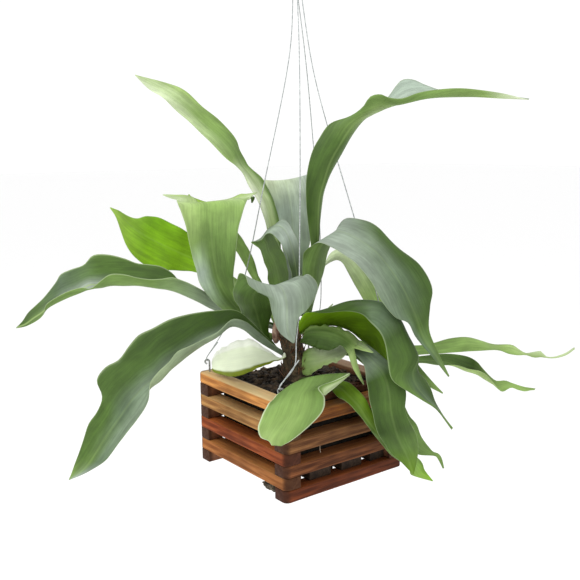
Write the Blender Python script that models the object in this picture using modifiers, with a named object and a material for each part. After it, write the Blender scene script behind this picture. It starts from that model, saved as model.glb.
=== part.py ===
"""A staghorn fern in a square hanging basket of stacked wooden slats.

The world origin is the inside of the top hook, where the whole thing hangs. X and Y run along the
basket's sides and Z is up. Everything below the hook is placed in the rim frame: its origin is the
middle of the basket's rim, HANG below the hook. Each slat, rod, wire, frond and shield is its own
object. A frond is a thin blade lofted along its midrib, with a half width on either side.
"""
import math
import random

import bmesh
import bpy
import numpy as np
from mathutils import Vector

# Driving dimensions, metres
BASKET_SIDE = 0.203
SLAT_HEIGHT = 0.016
SLAT_WIDTH = 0.024
SLAT_LEVELS = 8
HANG = 0.575
GAP = 0.0003

RIM_HEIGHT = SLAT_LEVELS * SLAT_HEIGHT
HALF_SIDE = BASKET_SIDE / 2
CORNER_RADIUS = 0.008
LOWER_EDGE_RADIUS = 0.005
FLOOR_LEVEL = 2
FLOOR_SLATS = ((-0.038, 0.036), (0.016, 0.036), (0.0625, 0.026))
FLOOR_LENGTH = 0.184

ROD_RADIUS = 0.0011
ROD_INSET = 0.012
ROD_FOOT = 0.001
EYE_RADIUS = 0.0031
EYE_HEIGHT = 0.0145
WIRE_RADIUS = 0.0007
WIRE_CLEARANCE = 0.0003

HOOK_RADIUS = 0.0012
HOOK_MOUTH = 0.011
RING_RADIUS = 0.0065
RING_DROP = 0.030

MEDIUM_GAP = 0.0006
MEDIUM_LEVEL = -0.009
MEDIUM_MOUND = 0.010
MEDIUM_CELLS = 9

BLADE_THICKNESS = 0.0012
BLADE_ROWS = 15
BLADE_COLUMNS = 4
LOBE_ROWS = 6
FLAP_COLUMNS = 2
GUIDE_STEPS = 400
TIP_HALF_WIDTH = 0.0008
MILLIMETRE = 0.001

# The way an eye at a basket corner faces: along the loop, level
EYE_ALONG = Vector((-0.79, 0.61, 0.0)).normalized()
EYE_ACROSS = Vector((-0.61, -0.79, 0.0)).normalized()
UP = Vector((0.0, 0.0, 1.0))

WIRE_STEPS = 18
BUD_PLACE = (-26, 18, 60)
BUD_RADIUS = 0.0065
BUD_HEIGHT = 0.032
SCRAP_HALF = (0.007, 0.018, 0.0068)
SCRAP_PLACE = (-0.091, -0.058, -0.1203)

# Rhizome sections from the foot up: height, centre x, centre y and radius, in millimetres
RHIZOME = ((-22, -8, -8, 19), (-10, -8, -8, 21), (6, -9, -5, 20), (22, -9, -2, 17), (38, -9, 4, 16),
           (54, -9, 9, 17), (70, -7, 15, 18), (84, -5, 19, 16), (95, -4, 22, 12), (102, -4, 23, 7))

# The four hanger wires. A wire's route runs from the hook's ring to its eye, in millimetres. "place"
# is where it hangs on the ring, in degrees from the bottom, and "side" is the face it leaves from.
# "corner" is the basket corner, "lean" the sideways lean of its rod, and "tail" where the folded
# back end points.
HANGERS = {
    "front": dict(corner=(-1, -1), place=-12, side=-1, lean=0.005, fold=-1,
                  route=[(-11, -19, 419), (-26, -38, 281), (-33, -45, 193), (-37, -49, 150),
                         (-48, -63, 113), (-71, -84, 66), (-77, -89, 45), (-82, -91, 31)],
                  tail=(-81, -103, 55)),
    "left": dict(corner=(-1, 1), place=-36, side=1, lean=0.0, fold=1,
                 route=[(-5, 11, 422), (-29, 37, 260), (-48, 56, 141), (-66, 73, 73)], tail=(-78, 84, 42)),
    "right": dict(corner=(1, -1), place=36, side=-1, lean=0.0, fold=-1,
                  route=[(11, -16, 420), (25, -31, 338), (51, -55, 219), (77, -79, 98)], tail=(82, -86, 42)),
    "back": dict(corner=(1, 1), place=12, side=1, lean=0.0, fold=1,
                 route=[(29, 18, 424), (58, 39, 321), (83, 54, 190), (94, 68, 66)], tail=(84, 92, 42)),
}

# The fronds. "heading" is the compass angle the blade grows toward and "spine" its midrib from the
# rhizome to the tip, in millimetres in the rim frame. "left" and "right" are half widths in
# millimetres, evenly spaced from base to tip. "roll" turns the blade about its midrib and "lift"
# raises its left and right halves toward the upper face, in degrees. A lobe grows from half the end.
FRONDS = {
    "frond_lower_left": dict(
        colour=(0.10, 0.20, 0.09), rows=20,
        left_edge=[(-21, 4, 34), (-49, -2, 53), (-74, -7, 73), (-94, -9, 89), (-113, -6, 94),
                   (-133, -3, 80), (-153, 1, 72), (-171, 5, 67), (-186, 8, 61), (-196, 10, 49),
                   (-210, 13, 39), (-221, 14, 28), (-225, 13, 17), (-227, 14, 5), (-232, 18, -11),
                   (-237, 25, -23), (-247, 35, -38), (-254, 43, -52), (-261, 51, -67), (-268, 60, -80),
                   (-279, 75, -93), (-289, 88, -102), (-299, 100, -109)],
        spine=[(-22, 7, 29), (-50, 4, 46), (-74, 0, 62), (-92, 0, 77), (-109, 3, 83), (-129, 6, 74),
               (-148, 13, 65), (-165, 19, 54), (-178, 22, 45), (-191, 26, 37), (-204, 28, 26),
               (-216, 33, 19), (-227, 37, 9), (-235, 42, -1), (-242, 49, -15), (-249, 56, -29),
               (-256, 62, -42), (-264, 68, -56), (-271, 73, -69), (-278, 80, -83), (-286, 89, -96),
               (-293, 95, -103), (-299, 100, -109)],
        right_edge=[(-23, 10, 34), (-48, 6, 57), (-71, 1, 78), (-89, 5, 96), (-102, 10, 103),
                    (-124, 20, 103), (-143, 27, 102), (-160, 36, 99), (-178, 44, 94), (-196, 51, 85),
                    (-212, 59, 77), (-224, 62, 65), (-237, 68, 47), (-253, 75, 38), (-264, 78, 22),
                    (-260, 74, 0), (-266, 77, -18), (-275, 84, -34), (-281, 90, -55), (-286, 95, -74),
                    (-291, 100, -91), (-295, 102, -103), (-299, 101, -109)]),
    "frond_long_left": dict(
        colour=(0.12, 0.21, 0.13), rows=20,
        left_edge=[(-10, 25, 62), (-38, 42, 75), (-66, 53, 92), (-94, 64, 110), (-114, 70, 124),
                   (-133, 81, 135), (-145, 88, 141), (-159, 96, 139), (-171, 102, 138), (-185, 109, 141),
                   (-200, 118, 146), (-216, 127, 147), (-227, 135, 139), (-237, 145, 128),
                   (-247, 154, 128), (-260, 165, 124), (-273, 175, 116), (-284, 183, 106),
                   (-287, 187, 93), (-294, 193, 84), (-304, 205, 76), (-314, 216, 73)],
        spine=[(-10, 28, 59), (-38, 46, 68), (-65, 57, 81), (-92, 72, 92), (-111, 80, 104),
               (-131, 96, 116), (-143, 105, 121), (-155, 113, 124), (-166, 120, 127), (-178, 128, 129),
               (-192, 137, 129), (-206, 146, 130), (-219, 153, 129), (-230, 160, 130), (-243, 168, 122),
               (-255, 176, 116), (-268, 185, 108), (-278, 190, 101), (-286, 196, 93), (-295, 202, 86),
               (-304, 209, 78), (-314, 216, 74)],
        right_edge=[(-7, 31, 65), (-34, 49, 77), (-58, 60, 96), (-82, 75, 109), (-101, 88, 118),
                    (-122, 104, 129), (-131, 113, 142), (-143, 122, 151), (-156, 131, 154),
                    (-169, 141, 156), (-183, 152, 163), (-200, 165, 168), (-216, 177, 167),
                    (-228, 182, 155), (-245, 189, 149), (-257, 194, 143), (-264, 196, 132),
                    (-277, 203, 113), (-287, 208, 103), (-298, 213, 93), (-306, 214, 82), (-314, 216, 74)]),
    "frond_trumpet": dict(
        colour=(0.33, 0.47, 0.19), rows=15,
        left_edge=[(-25, 29, 47), (-52, 43, 61), (-83, 50, 88), (-105, 53, 109), (-120, 57, 131),
                   (-125, 61, 154), (-128, 66, 177), (-129, 74, 202), (-128, 86, 224), (-125, 101, 235),
                   (-124, 106, 240)],
        spine=[(-24, 26, 50), (-47, 39, 69), (-73, 42, 96), (-91, 45, 120), (-98, 50, 142),
               (-101, 53, 166), (-101, 57, 189), (-97, 64, 211), (-91, 73, 228), (-87, 82, 237),
               (-98, 94, 237)],
        right_edge=[(-20, 26, 54), (-40, 36, 65), (-59, 38, 85), (-74, 37, 108), (-81, 37, 128),
                    (-81, 35, 152), (-79, 33, 175), (-74, 34, 200), (-64, 39, 224), (-52, 45, 239),
                    (-47, 46, 244)],
        lobes=[dict(spine=[(-103, 122, 242), (-110, 138, 244), (-118, 154, 246)],
                    left=[20, 15, 9, 1], right=[18, 13, 7, 1]),
               dict(spine=[(-44, 77, 241), (-29, 75, 245), (-14, 74, 248)],
                    left=[22, 13, 7, 1], right=[22, 15, 9, 1])]),
    "frond_bright": dict(
        colour=(0.33, 0.50, 0.06), rows=14,
        left_edge=[(-19, 48, 74), (-44, 82, 101), (-63, 112, 123), (-81, 133, 135), (-99, 147, 138),
                   (-117, 158, 139), (-136, 170, 144), (-151, 179, 157), (-161, 185, 173),
                   (-167, 189, 194), (-172, 193, 215), (-178, 198, 228)],
        spine=[(-15, 49, 76), (-37, 84, 111), (-57, 117, 135), (-74, 138, 150), (-90, 153, 160),
               (-107, 165, 170), (-124, 177, 181), (-139, 183, 191), (-152, 188, 202), (-163, 191, 214),
               (-170, 194, 222), (-178, 198, 229)],
        right_edge=[(-9, 50, 78), (-30, 84, 116), (-52, 121, 145), (-67, 143, 171), (-77, 158, 189),
                    (-93, 173, 202), (-110, 183, 212), (-124, 189, 214), (-138, 192, 212),
                    (-154, 195, 217), (-168, 195, 225), (-177, 197, 229)]),
    "frond_behind_trumpet": dict(
        colour=(0.18, 0.30, 0.12), rows=12,
        left_edge=[(-19, 32, 68), (-23, 51, 97), (-30, 69, 131), (-37, 81, 154), (-44, 92, 175),
                   (-54, 105, 199), (-62, 116, 218), (-68, 131, 230)],
        spine=[(-14, 31, 70), (-17, 48, 99), (-25, 65, 136), (-31, 77, 154), (-37, 89, 175),
               (-46, 101, 198), (-50, 112, 220), (-50, 122, 232)],
        right_edge=[(-10, 30, 73), (-10, 45, 102), (-18, 60, 121), (-24, 72, 157), (-31, 82, 178),
                    (-39, 93, 200), (-41, 100, 222), (-29, 100, 233)],
        lobes=[dict(spine=[(-67, 145, 234), (-72, 156, 239), (-72, 162, 244)],
                    left=[8, 6, 4, 1], right=[8, 6, 4, 1]),
               dict(spine=[(-14, 104, 239), (0, 106, 239), (2, 110, 231)],
                    left=[11, 7, 5, 1], right=[11, 7, 5, 1])]),
    "frond_upper_left": dict(
        colour=(0.42, 0.55, 0.20), rows=17,
        left_edge=[(1, 37, 90), (4, 51, 114), (-2, 52, 140), (-4, 64, 187), (-9, 70, 223),
                   (-13, 78, 241), (-18, 87, 256), (-22, 96, 272), (-28, 105, 283), (-37, 117, 297),
                   (-49, 133, 315), (-61, 150, 334), (-74, 171, 356), (-89, 192, 378), (-102, 213, 393),
                   (-112, 235, 413)],
        spine=[(7, 38, 89), (11, 52, 113), (8, 57, 140), (10, 68, 188), (6, 74, 227), (1, 83, 247),
               (-5, 92, 263), (-9, 104, 277), (-12, 113, 286), (-16, 126, 308), (-25, 141, 326),
               (-40, 157, 345), (-55, 176, 366), (-72, 194, 385), (-90, 213, 399), (-112, 235, 414)],
        right_edge=[(13, 38, 88), (19, 53, 114), (17, 60, 141), (22, 69, 190), (19, 77, 230),
                    (13, 86, 252), (8, 92, 267), (-1, 104, 279), (-3, 113, 286), (-4, 127, 306),
                    (-6, 138, 323), (-17, 155, 345), (-34, 173, 366), (-53, 190, 389), (-74, 208, 402),
                    (-111, 235, 414)]),
    "frond_back_centre": dict(
        colour=(0.22, 0.32, 0.25), rows=13,
        left_edge=[(7, 28, 94), (20, 52, 123), (27, 68, 157), (31, 80, 189), (29, 89, 223),
                   (26, 98, 246), (24, 115, 264), (43, 141, 255)],
        spine=[(12, 28, 93), (32, 51, 125), (43, 65, 160), (51, 77, 193), (54, 85, 225), (54, 92, 248),
               (59, 106, 262), (77, 127, 251)],
        right_edge=[(13, 23, 94), (37, 39, 123), (54, 46, 158), (65, 53, 191), (71, 57, 225),
                    (74, 61, 254), (81, 72, 272), (97, 99, 261)],
        lobes=[dict(spine=[(81, 152, 220), (80, 160, 185)],
                    left=[14, 10, 1], right=[14, 10, 1]),
               dict(spine=[(104, 134, 226), (109, 136, 188)],
                    left=[14, 10, 1], right=[14, 10, 1])]),
    "frond_curl": dict(
        colour=(0.14, 0.24, 0.12), rows=17,
        left_edge=[(-7, 8, 104), (-7, 5, 132), (-11, 6, 156), (-18, 9, 175), (-24, 11, 187),
                   (-32, 14, 196), (-38, 19, 195), (-45, 24, 188), (-57, 31, 186), (-45, 27, 176),
                   (-39, 30, 167), (-32, 30, 151), (-27, 33, 131), (-19, 32, 114), (-6, 32, 99)],
        spine=[(0, 10, 100), (3, 8, 128), (1, 9, 155), (-3, 12, 179), (-7, 17, 196), (-14, 24, 205),
               (-22, 32, 202), (-28, 38, 195), (-28, 39, 187), (-24, 39, 181), (-21, 39, 171),
               (-12, 37, 152), (-5, 37, 128), (-4, 34, 110), (-4, 32, 99)],
        right_edge=[(7, 12, 102), (14, 12, 132), (14, 14, 159), (12, 18, 184), (8, 24, 200),
                    (0, 33, 211), (-7, 43, 205), (-11, 49, 201), (-8, 49, 194), (-3, 49, 185),
                    (3, 47, 177), (10, 43, 157), (15, 41, 134), (9, 38, 116), (-2, 32, 98)]),
    "frond_tall_right": dict(
        colour=(0.16, 0.27, 0.12), rows=23,
        left_edge=[(8, 1, 82), (11, -26, 127), (9, -32, 169), (8, -34, 205), (11, -37, 241),
                   (15, -42, 264), (23, -51, 290), (32, -60, 313), (42, -70, 333), (51, -75, 344),
                   (61, -77, 349), (73, -79, 357), (87, -80, 374), (105, -83, 395), (116, -94, 396),
                   (121, -114, 386), (128, -142, 378), (148, -170, 377), (172, -195, 372),
                   (192, -221, 367)],
        spine=[(3, -2, 83), (3, -30, 129), (1, -39, 170), (-2, -44, 206), (-3, -48, 243), (-1, -55, 267),
               (3, -63, 291), (9, -73, 311), (17, -84, 332), (27, -92, 344), (38, -102, 352),
               (47, -108, 356), (59, -115, 359), (70, -122, 363), (82, -131, 367), (97, -143, 369),
               (117, -158, 370), (141, -177, 370), (168, -198, 368), (191, -221, 366)],
        right_edge=[(2, 1, 83), (-1, -24, 128), (-5, -34, 177), (-12, -36, 210), (-16, -38, 243),
                    (-16, -38, 271), (-12, -43, 301), (-6, -51, 321), (4, -61, 338), (17, -81, 346),
                    (24, -99, 358), (27, -109, 370), (35, -119, 373), (44, -126, 369), (57, -135, 368),
                    (75, -146, 375), (98, -159, 379), (127, -178, 379), (159, -198, 375),
                    (191, -220, 366)]),
    "frond_right_big": dict(
        colour=(0.20, 0.30, 0.20), rows=18,
        left_edge=[(8, -17, 85), (11, -21, 106), (14, -29, 130), (17, -36, 156), (20, -43, 179),
                   (26, -48, 203), (35, -57, 218), (45, -77, 216), (57, -99, 205), (69, -124, 180),
                   (82, -146, 161), (87, -163, 133), (79, -169, 111), (70, -175, 83), (78, -184, 55),
                   (89, -194, 24)],
        spine=[(3, -17, 80), (-1, -24, 108), (-4, -35, 134), (-9, -44, 159), (-7, -55, 184),
               (5, -67, 202), (11, -82, 202), (21, -100, 193), (32, -118, 179), (40, -137, 157),
               (46, -152, 136), (51, -162, 114), (56, -168, 96), (62, -174, 74), (74, -183, 51),
               (88, -194, 24)],
        right_edge=[(2, -12, 79), (-3, -15, 107), (-9, -21, 133), (-15, -28, 156), (-22, -41, 177),
                    (-15, -59, 189), (-9, -79, 185), (-3, -99, 176), (3, -116, 165), (11, -132, 144),
                    (17, -145, 122), (29, -156, 102), (43, -165, 94), (53, -169, 75), (70, -181, 50),
                    (88, -193, 23)]),
    "frond_right_back": dict(
        colour=(0.24, 0.36, 0.20), rows=17,
        left_edge=[(19, 10, 83), (33, 10, 110), (46, 7, 134), (59, 5, 160), (75, 0, 168), (95, -7, 160),
                   (111, -15, 139), (125, -21, 115), (136, -26, 88), (147, -35, 59), (159, -47, 25),
                   (173, -60, -3), (187, -73, -26), (201, -85, -46)],
        spine=[(17, 10, 81), (29, 8, 108), (39, 5, 131), (49, 0, 152), (64, -4, 161), (81, -7, 154),
               (97, -11, 136), (110, -16, 112), (123, -21, 86), (136, -31, 55), (150, -44, 21),
               (166, -57, -7), (183, -72, -30), (200, -85, -47)],
        right_edge=[(14, 10, 78), (25, 8, 106), (34, 6, 127), (44, 1, 145), (58, -4, 153), (71, -7, 152),
                    (83, -8, 134), (96, -13, 110), (109, -18, 88), (125, -28, 53), (141, -41, 18),
                    (159, -54, -11), (178, -69, -32), (200, -84, -47)]),
    "frond_front_drape": dict(
        colour=(0.28, 0.34, 0.29), rows=19,
        left_edge=[(-26, 15, 39), (-40, 15, 60), (-43, 8, 80), (-43, -4, 102), (-47, -27, 122),
                   (-53, -50, 144), (-49, -62, 151), (-47, -70, 150), (-44, -77, 153), (-40, -86, 147),
                   (-42, -93, 138), (-52, -96, 125), (-64, -96, 113), (-75, -95, 106), (-80, -97, 90),
                   (-82, -96, 76)],
        spine=[(-31, 15, 37), (-47, 16, 58), (-59, 10, 79), (-69, 3, 98), (-83, -10, 116),
               (-92, -30, 132), (-89, -43, 138), (-85, -51, 140), (-83, -60, 142), (-82, -69, 141),
               (-83, -76, 136), (-85, -83, 128), (-86, -86, 118), (-89, -90, 105), (-89, -92, 90),
               (-83, -95, 75)],
        right_edge=[(-34, 19, 40), (-49, 23, 61), (-67, 23, 82), (-80, 22, 95), (-95, 15, 116),
                    (-103, 4, 132), (-104, -6, 148), (-104, -13, 154), (-105, -20, 155),
                    (-106, -29, 151), (-107, -36, 142), (-105, -50, 136), (-99, -65, 130),
                    (-100, -74, 111), (-96, -84, 89), (-85, -94, 76)]),
    "frond_right_fork": dict(
        colour=(0.16, 0.27, 0.14), rows=20,
        left_edge=[(-1, -4, 58), (8, -19, 67), (24, -38, 71), (38, -57, 68), (47, -71, 57),
                   (53, -86, 45), (53, -99, 31), (57, -115, 26), (61, -138, 26), (69, -164, 23),
                   (69, -177, 11), (73, -187, -9), (80, -198, -30), (86, -205, -41)],
        spine=[(-7, -10, 66), (-6, -28, 85), (4, -56, 99), (15, -80, 110), (27, -102, 114),
               (40, -125, 112), (49, -141, 98), (55, -153, 76), (61, -166, 49), (50, -168, 30),
               (48, -176, 16), (59, -186, -3), (71, -196, -19), (85, -204, -42)],
        right_edge=[(-10, -12, 76), (-12, -31, 93), (-4, -63, 97), (7, -89, 102), (13, -111, 101),
                    (15, -128, 92), (19, -141, 80), (20, -150, 63), (20, -154, 40), (23, -159, 23),
                    (33, -169, 12), (49, -182, -1), (66, -193, -15), (84, -204, -43)]),
    "frond_short_right": dict(
        colour=(0.20, 0.31, 0.16), rows=10,
        left_edge=[(-2, -11, 53), (0, -20, 70), (10, -38, 74), (20, -59, 74), (26, -76, 69),
                   (30, -91, 60)],
        spine=[(-6, -13, 50), (-8, -26, 63), (-4, -50, 69), (3, -73, 68), (6, -91, 63), (8, -104, 56)],
        right_edge=[(-9, -14, 48), (-12, -26, 51), (-10, -48, 48), (-5, -70, 48), (-2, -90, 58),
                    (-1, -103, 49)],
        lobes=[dict(spine=[(17, -119, 55), (19, -128, 53)],
                    left=[8, 6, 1], right=[7, 5, 1]),
               dict(spine=[(3, -113, 33), (10, -121, 11)],
                    left=[6, 5, 1], right=[5, 5, 1])]),
    "frond_front_left": dict(
        colour=(0.26, 0.42, 0.20), rows=16,
        left_edge=[(-8, -12, -1), (-12, -56, 12), (-10, -88, 17), (-4, -110, 26), (-25, -107, 20),
                   (-50, -103, 15), (-53, -118, 6), (-63, -126, -8), (-84, -125, -23), (-105, -119, -37),
                   (-118, -114, -43)],
        spine=[(-11, -14, -2), (-30, -53, 11), (-51, -85, 21), (-63, -98, 28), (-74, -104, 21),
               (-88, -109, 12), (-96, -113, 2), (-104, -114, -10), (-114, -114, -21), (-122, -113, -32),
               (-123, -111, -42)],
        right_edge=[(-14, -15, -4), (-44, -49, 7), (-86, -87, 18), (-105, -94, 16), (-117, -91, 6),
                    (-124, -90, -2), (-130, -90, -12), (-135, -91, -23), (-136, -96, -33),
                    (-130, -105, -36), (-127, -107, -42)],
        flap=dict(along=(3, 5.7), edge=[(-4, -110, 24), (-22, -107, 13), (-44, -108, 4)])),
    "frond_drip_front": dict(
        colour=(0.22, 0.36, 0.08), rows=17,
        left_edge=[(8, -40, 3), (7, -58, 8), (8, -77, 7), (8, -95, 8), (8, -112, 2), (9, -126, -7),
                   (15, -133, -24), (30, -136, -45), (47, -140, -64), (63, -143, -79), (81, -148, -96),
                   (90, -150, -106), (95, -150, -117), (108, -154, -135)],
        spine=[(4, -41, 0), (0, -60, 3), (-1, -77, 1), (-3, -95, 0), (-4, -112, -7), (-1, -124, -16),
               (7, -129, -32), (22, -132, -51), (40, -134, -70), (57, -137, -87), (74, -141, -103),
               (84, -144, -114), (91, -146, -125), (107, -153, -135)],
        right_edge=[(-1, -41, 1), (-7, -60, 1), (-10, -78, 0), (-14, -95, -5), (-16, -112, -8),
                    (-9, -124, -16), (-1, -128, -28), (11, -130, -45), (29, -131, -67), (47, -132, -88),
                    (63, -135, -102), (76, -139, -113), (81, -140, -124), (107, -153, -135)]),
    "frond_drip_right": dict(
        colour=(0.13, 0.24, 0.08), rows=17,
        left_edge=[(8, -4, 55), (13, -28, 55), (20, -51, 59), (25, -75, 60), (31, -100, 57),
                   (37, -124, 46), (42, -148, 31), (45, -161, 6), (45, -161, -22), (55, -163, -42),
                   (65, -163, -59), (69, -162, -78), (70, -159, -93), (68, -156, -114)],
        spine=[(4, -6, 51), (7, -31, 53), (14, -54, 56), (17, -76, 56), (21, -99, 50), (23, -121, 40),
               (26, -140, 26), (27, -149, 3), (29, -151, -22), (37, -151, -45), (46, -151, -65),
               (54, -153, -81), (60, -155, -96), (67, -155, -114)],
        right_edge=[(0, -7, 52), (2, -32, 55), (8, -55, 57), (10, -77, 56), (12, -100, 48),
                    (10, -121, 35), (3, -134, 18), (2, -139, -1), (7, -143, -27), (15, -141, -48),
                    (24, -142, -62), (37, -144, -81), (49, -149, -93), (67, -155, -114)]),
    "frond_drip_back": dict(
        colour=(0.17, 0.30, 0.12), rows=16,
        left_edge=[(10, -5, 35), (22, -23, 38), (38, -38, 42), (50, -60, 40), (61, -82, 36),
                   (69, -100, 24), (75, -112, 7), (77, -120, -14), (83, -129, -41), (91, -137, -56),
                   (98, -143, -76), (106, -151, -92), (113, -157, -96), (117, -160, -103),
                   (120, -162, -117)],
        spine=[(6, -8, 33), (18, -26, 35), (33, -42, 39), (43, -62, 36), (50, -84, 30), (57, -99, 17),
               (61, -110, -1), (65, -118, -20), (71, -126, -44), (80, -135, -64), (89, -142, -83),
               (101, -150, -94), (111, -156, -97), (115, -159, -104), (119, -162, -117)],
        right_edge=[(3, -10, 34), (14, -27, 34), (27, -45, 38), (35, -65, 34), (40, -86, 27),
                    (46, -104, 13), (53, -112, -6), (57, -117, -24), (62, -124, -46), (71, -132, -69),
                    (80, -139, -89), (90, -145, -96), (108, -155, -99), (112, -158, -104),
                    (117, -162, -117)]),
    "frond_far_right": dict(
        colour=(0.22, 0.34, 0.18), rows=22,
        left_edge=[(10, 15, 61), (40, 2, 53), (70, -12, 45), (97, -31, 37), (125, -49, 32),
                   (151, -69, 30), (178, -86, 33), (199, -97, 38), (218, -110, 39), (237, -124, 35),
                   (250, -139, 29), (265, -154, 29), (272, -162, 23), (279, -169, 18), (290, -175, 19),
                   (298, -181, 20), (302, -187, 13), (310, -196, 13), (320, -205, 18), (329, -214, 27)],
        spine=[(8, 12, 56), (38, -2, 48), (67, -15, 39), (95, -34, 31), (120, -54, 25), (146, -74, 23),
               (172, -93, 26), (193, -107, 29), (211, -120, 32), (230, -133, 30), (247, -145, 26),
               (261, -155, 24), (269, -164, 20), (277, -171, 17), (286, -178, 16), (295, -184, 16),
               (300, -188, 12), (308, -197, 12), (320, -207, 17), (328, -215, 26)],
        right_edge=[(7, 8, 55), (37, -6, 46), (65, -20, 37), (90, -38, 28), (116, -59, 22),
                    (142, -80, 20), (167, -100, 21), (188, -113, 22), (208, -127, 24), (226, -140, 24),
                    (244, -151, 23), (256, -158, 18), (266, -166, 16), (276, -172, 16), (283, -180, 13),
                    (291, -186, 13), (298, -189, 11), (307, -198, 11), (318, -208, 16), (328, -216, 25)]),
    "frond_low_right": dict(
        colour=(0.10, 0.20, 0.07), rows=22,
        left_edge=[(10, 4, 47), (33, -13, 40), (55, -30, 34), (75, -46, 29), (95, -63, 24),
                   (118, -78, 20), (141, -94, 21), (165, -109, 23), (181, -123, 23), (194, -135, 20),
                   (202, -145, 13), (206, -154, 3), (212, -162, -7), (217, -168, -12), (225, -176, -11),
                   (231, -183, -14), (237, -189, -17), (245, -195, -20), (250, -199, -21),
                   (256, -204, -22)],
        spine=[(8, 1, 44), (30, -16, 36), (52, -31, 29), (72, -48, 23), (93, -66, 18), (115, -83, 16),
               (137, -100, 16), (158, -116, 15), (171, -128, 11), (183, -138, 4), (195, -150, -2),
               (203, -160, -10), (210, -168, -16), (214, -173, -20), (221, -178, -18), (229, -184, -17),
               (237, -190, -20), (244, -196, -23), (249, -200, -23), (255, -204, -23)],
        right_edge=[(5, -3, 44), (27, -20, 35), (48, -35, 27), (70, -52, 22), (89, -71, 16),
                    (109, -89, 15), (130, -107, 15), (150, -123, 14), (165, -137, 12), (178, -149, 8),
                    (188, -159, 6), (196, -166, 1), (203, -171, -8), (212, -175, -22), (218, -179, -25),
                    (227, -185, -20), (235, -191, -23), (242, -197, -25), (248, -201, -24),
                    (254, -204, -24)]),
    "shield_left": dict(
        colour=(0.70, 0.76, 0.46), rows=16,
        left_edge=[(-26, -5, 29), (-32, -3, 27), (-48, -2, 25), (-64, -1, 22), (-78, 4, 17),
                   (-87, 14, 11), (-94, 29, 7), (-97, 47, 6), (-98, 63, 6), (-98, 70, 8)],
        spine=[(-27, -5, 33), (-32, 0, 27), (-48, 9, 30), (-61, 17, 31), (-75, 27, 28), (-83, 41, 24),
               (-89, 56, 20), (-91, 65, 18), (-91, 75, 14), (-91, 80, 11)],
        right_edge=[(-28, -3, 36), (-31, 4, 28), (-42, 27, 41), (-45, 50, 47), (-52, 70, 43),
                    (-60, 84, 36), (-69, 93, 28), (-73, 96, 26), (-79, 96, 18), (-83, 94, 11)]),
    "shield_right": dict(
        colour=(0.30, 0.40, 0.16), rows=14,
        left_edge=[(-1, -12, 34), (6, -20, 41), (12, -31, 39), (19, -44, 42), (26, -56, 47),
                   (28, -64, 47)],
        spine=[(-8, -14, 21), (-3, -28, 26), (3, -42, 29), (9, -57, 36), (16, -70, 42), (20, -76, 46)],
        right_edge=[(-14, -17, 7), (-9, -33, 7), (-6, -51, 20), (0, -66, 29), (5, -77, 33), (16, -82, 43)]),
    "frond_young": dict(
        colour=(0.30, 0.44, 0.12),
        heading=330, spine=[(4, 8, 60), (33, -5, 78), (49, -15, 95)],
        left=[3, 5, 4, 1], right=[3, 5, 4, 1],
        roll=[0, 10, 20], lift=([20, 10, 0], [20, 10, 0])),
}


def smooth_points(points, count):
    """Points along a Catmull-Rom curve through the given points, evenly spaced by length."""
    points = np.asarray(points, dtype=float)
    ends = np.vstack([2 * points[0] - points[1], points, 2 * points[-1] - points[-2]])
    steps = np.linspace(0, 1, 40, endpoint=False)[:, None]
    fine = []
    for a, b, c, d in zip(ends[:-3], ends[1:-2], ends[2:-1], ends[3:]):
        fine.append(0.5 * (2 * b + (c - a) * steps + (2 * a - 5 * b + 4 * c - d) * steps ** 2
                           + (3 * b - a - 3 * c + d) * steps ** 3))
    fine = np.vstack(fine + [points[-1:]])
    length = np.concatenate([[0], np.cumsum(np.linalg.norm(np.diff(fine, axis=0), axis=1))])
    wanted = np.linspace(0, length[-1], count)
    return np.stack([np.interp(wanted, length, fine[:, k]) for k in range(fine.shape[1])], axis=1)


def smooth_values(values, count):
    """A list of values read smoothly at evenly spaced places along its length."""
    values = np.asarray(values, dtype=float)
    ends = np.concatenate([[2 * values[0] - values[1]], values, [2 * values[-1] - values[-2]]])
    place = np.linspace(0, len(values) - 1, count)
    first = np.clip(np.floor(place).astype(int), 0, len(values) - 2)
    t = place - first
    a, b, c, d = (ends[first + k] for k in range(4))
    return 0.5 * (2 * b + (c - a) * t + (2 * a - 5 * b + 4 * c - d) * t ** 2
                  + (3 * b - a - 3 * c + d) * t ** 3)


def blade_frames(points, side, rolls):
    """Side and upper-face directions along a midrib, rolled about it."""
    along = np.gradient(points, axis=0)
    along /= np.linalg.norm(along, axis=1, keepdims=True)
    across = side - (along @ side)[:, None] * along
    across /= np.linalg.norm(across, axis=1, keepdims=True)
    upper = np.cross(along, across)
    turn = np.radians(rolls)[:, None]
    return across * np.cos(turn) + upper * np.sin(turn), upper * np.cos(turn) - across * np.sin(turn)


def blade_rows(points, across, upper, widths, lifts, columns):
    """Rows of points from the left margin to the right one. Each half is lifted like a wing."""
    rows = np.zeros((len(points), columns + 1, 3))
    for column, place in enumerate(np.linspace(1, -1, columns + 1)):
        half = 0 if place > 0 else 1
        width = np.maximum(widths[half], TIP_HALF_WIDTH / MILLIMETRE)
        reach = np.sign(place) * abs(place) * width * np.cos(lifts[half])
        rise = abs(place) ** 1.5 * width * np.sin(lifts[half])
        rows[:, column] = points + across * reach[:, None] + upper * rise[:, None]
    return rows


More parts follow.
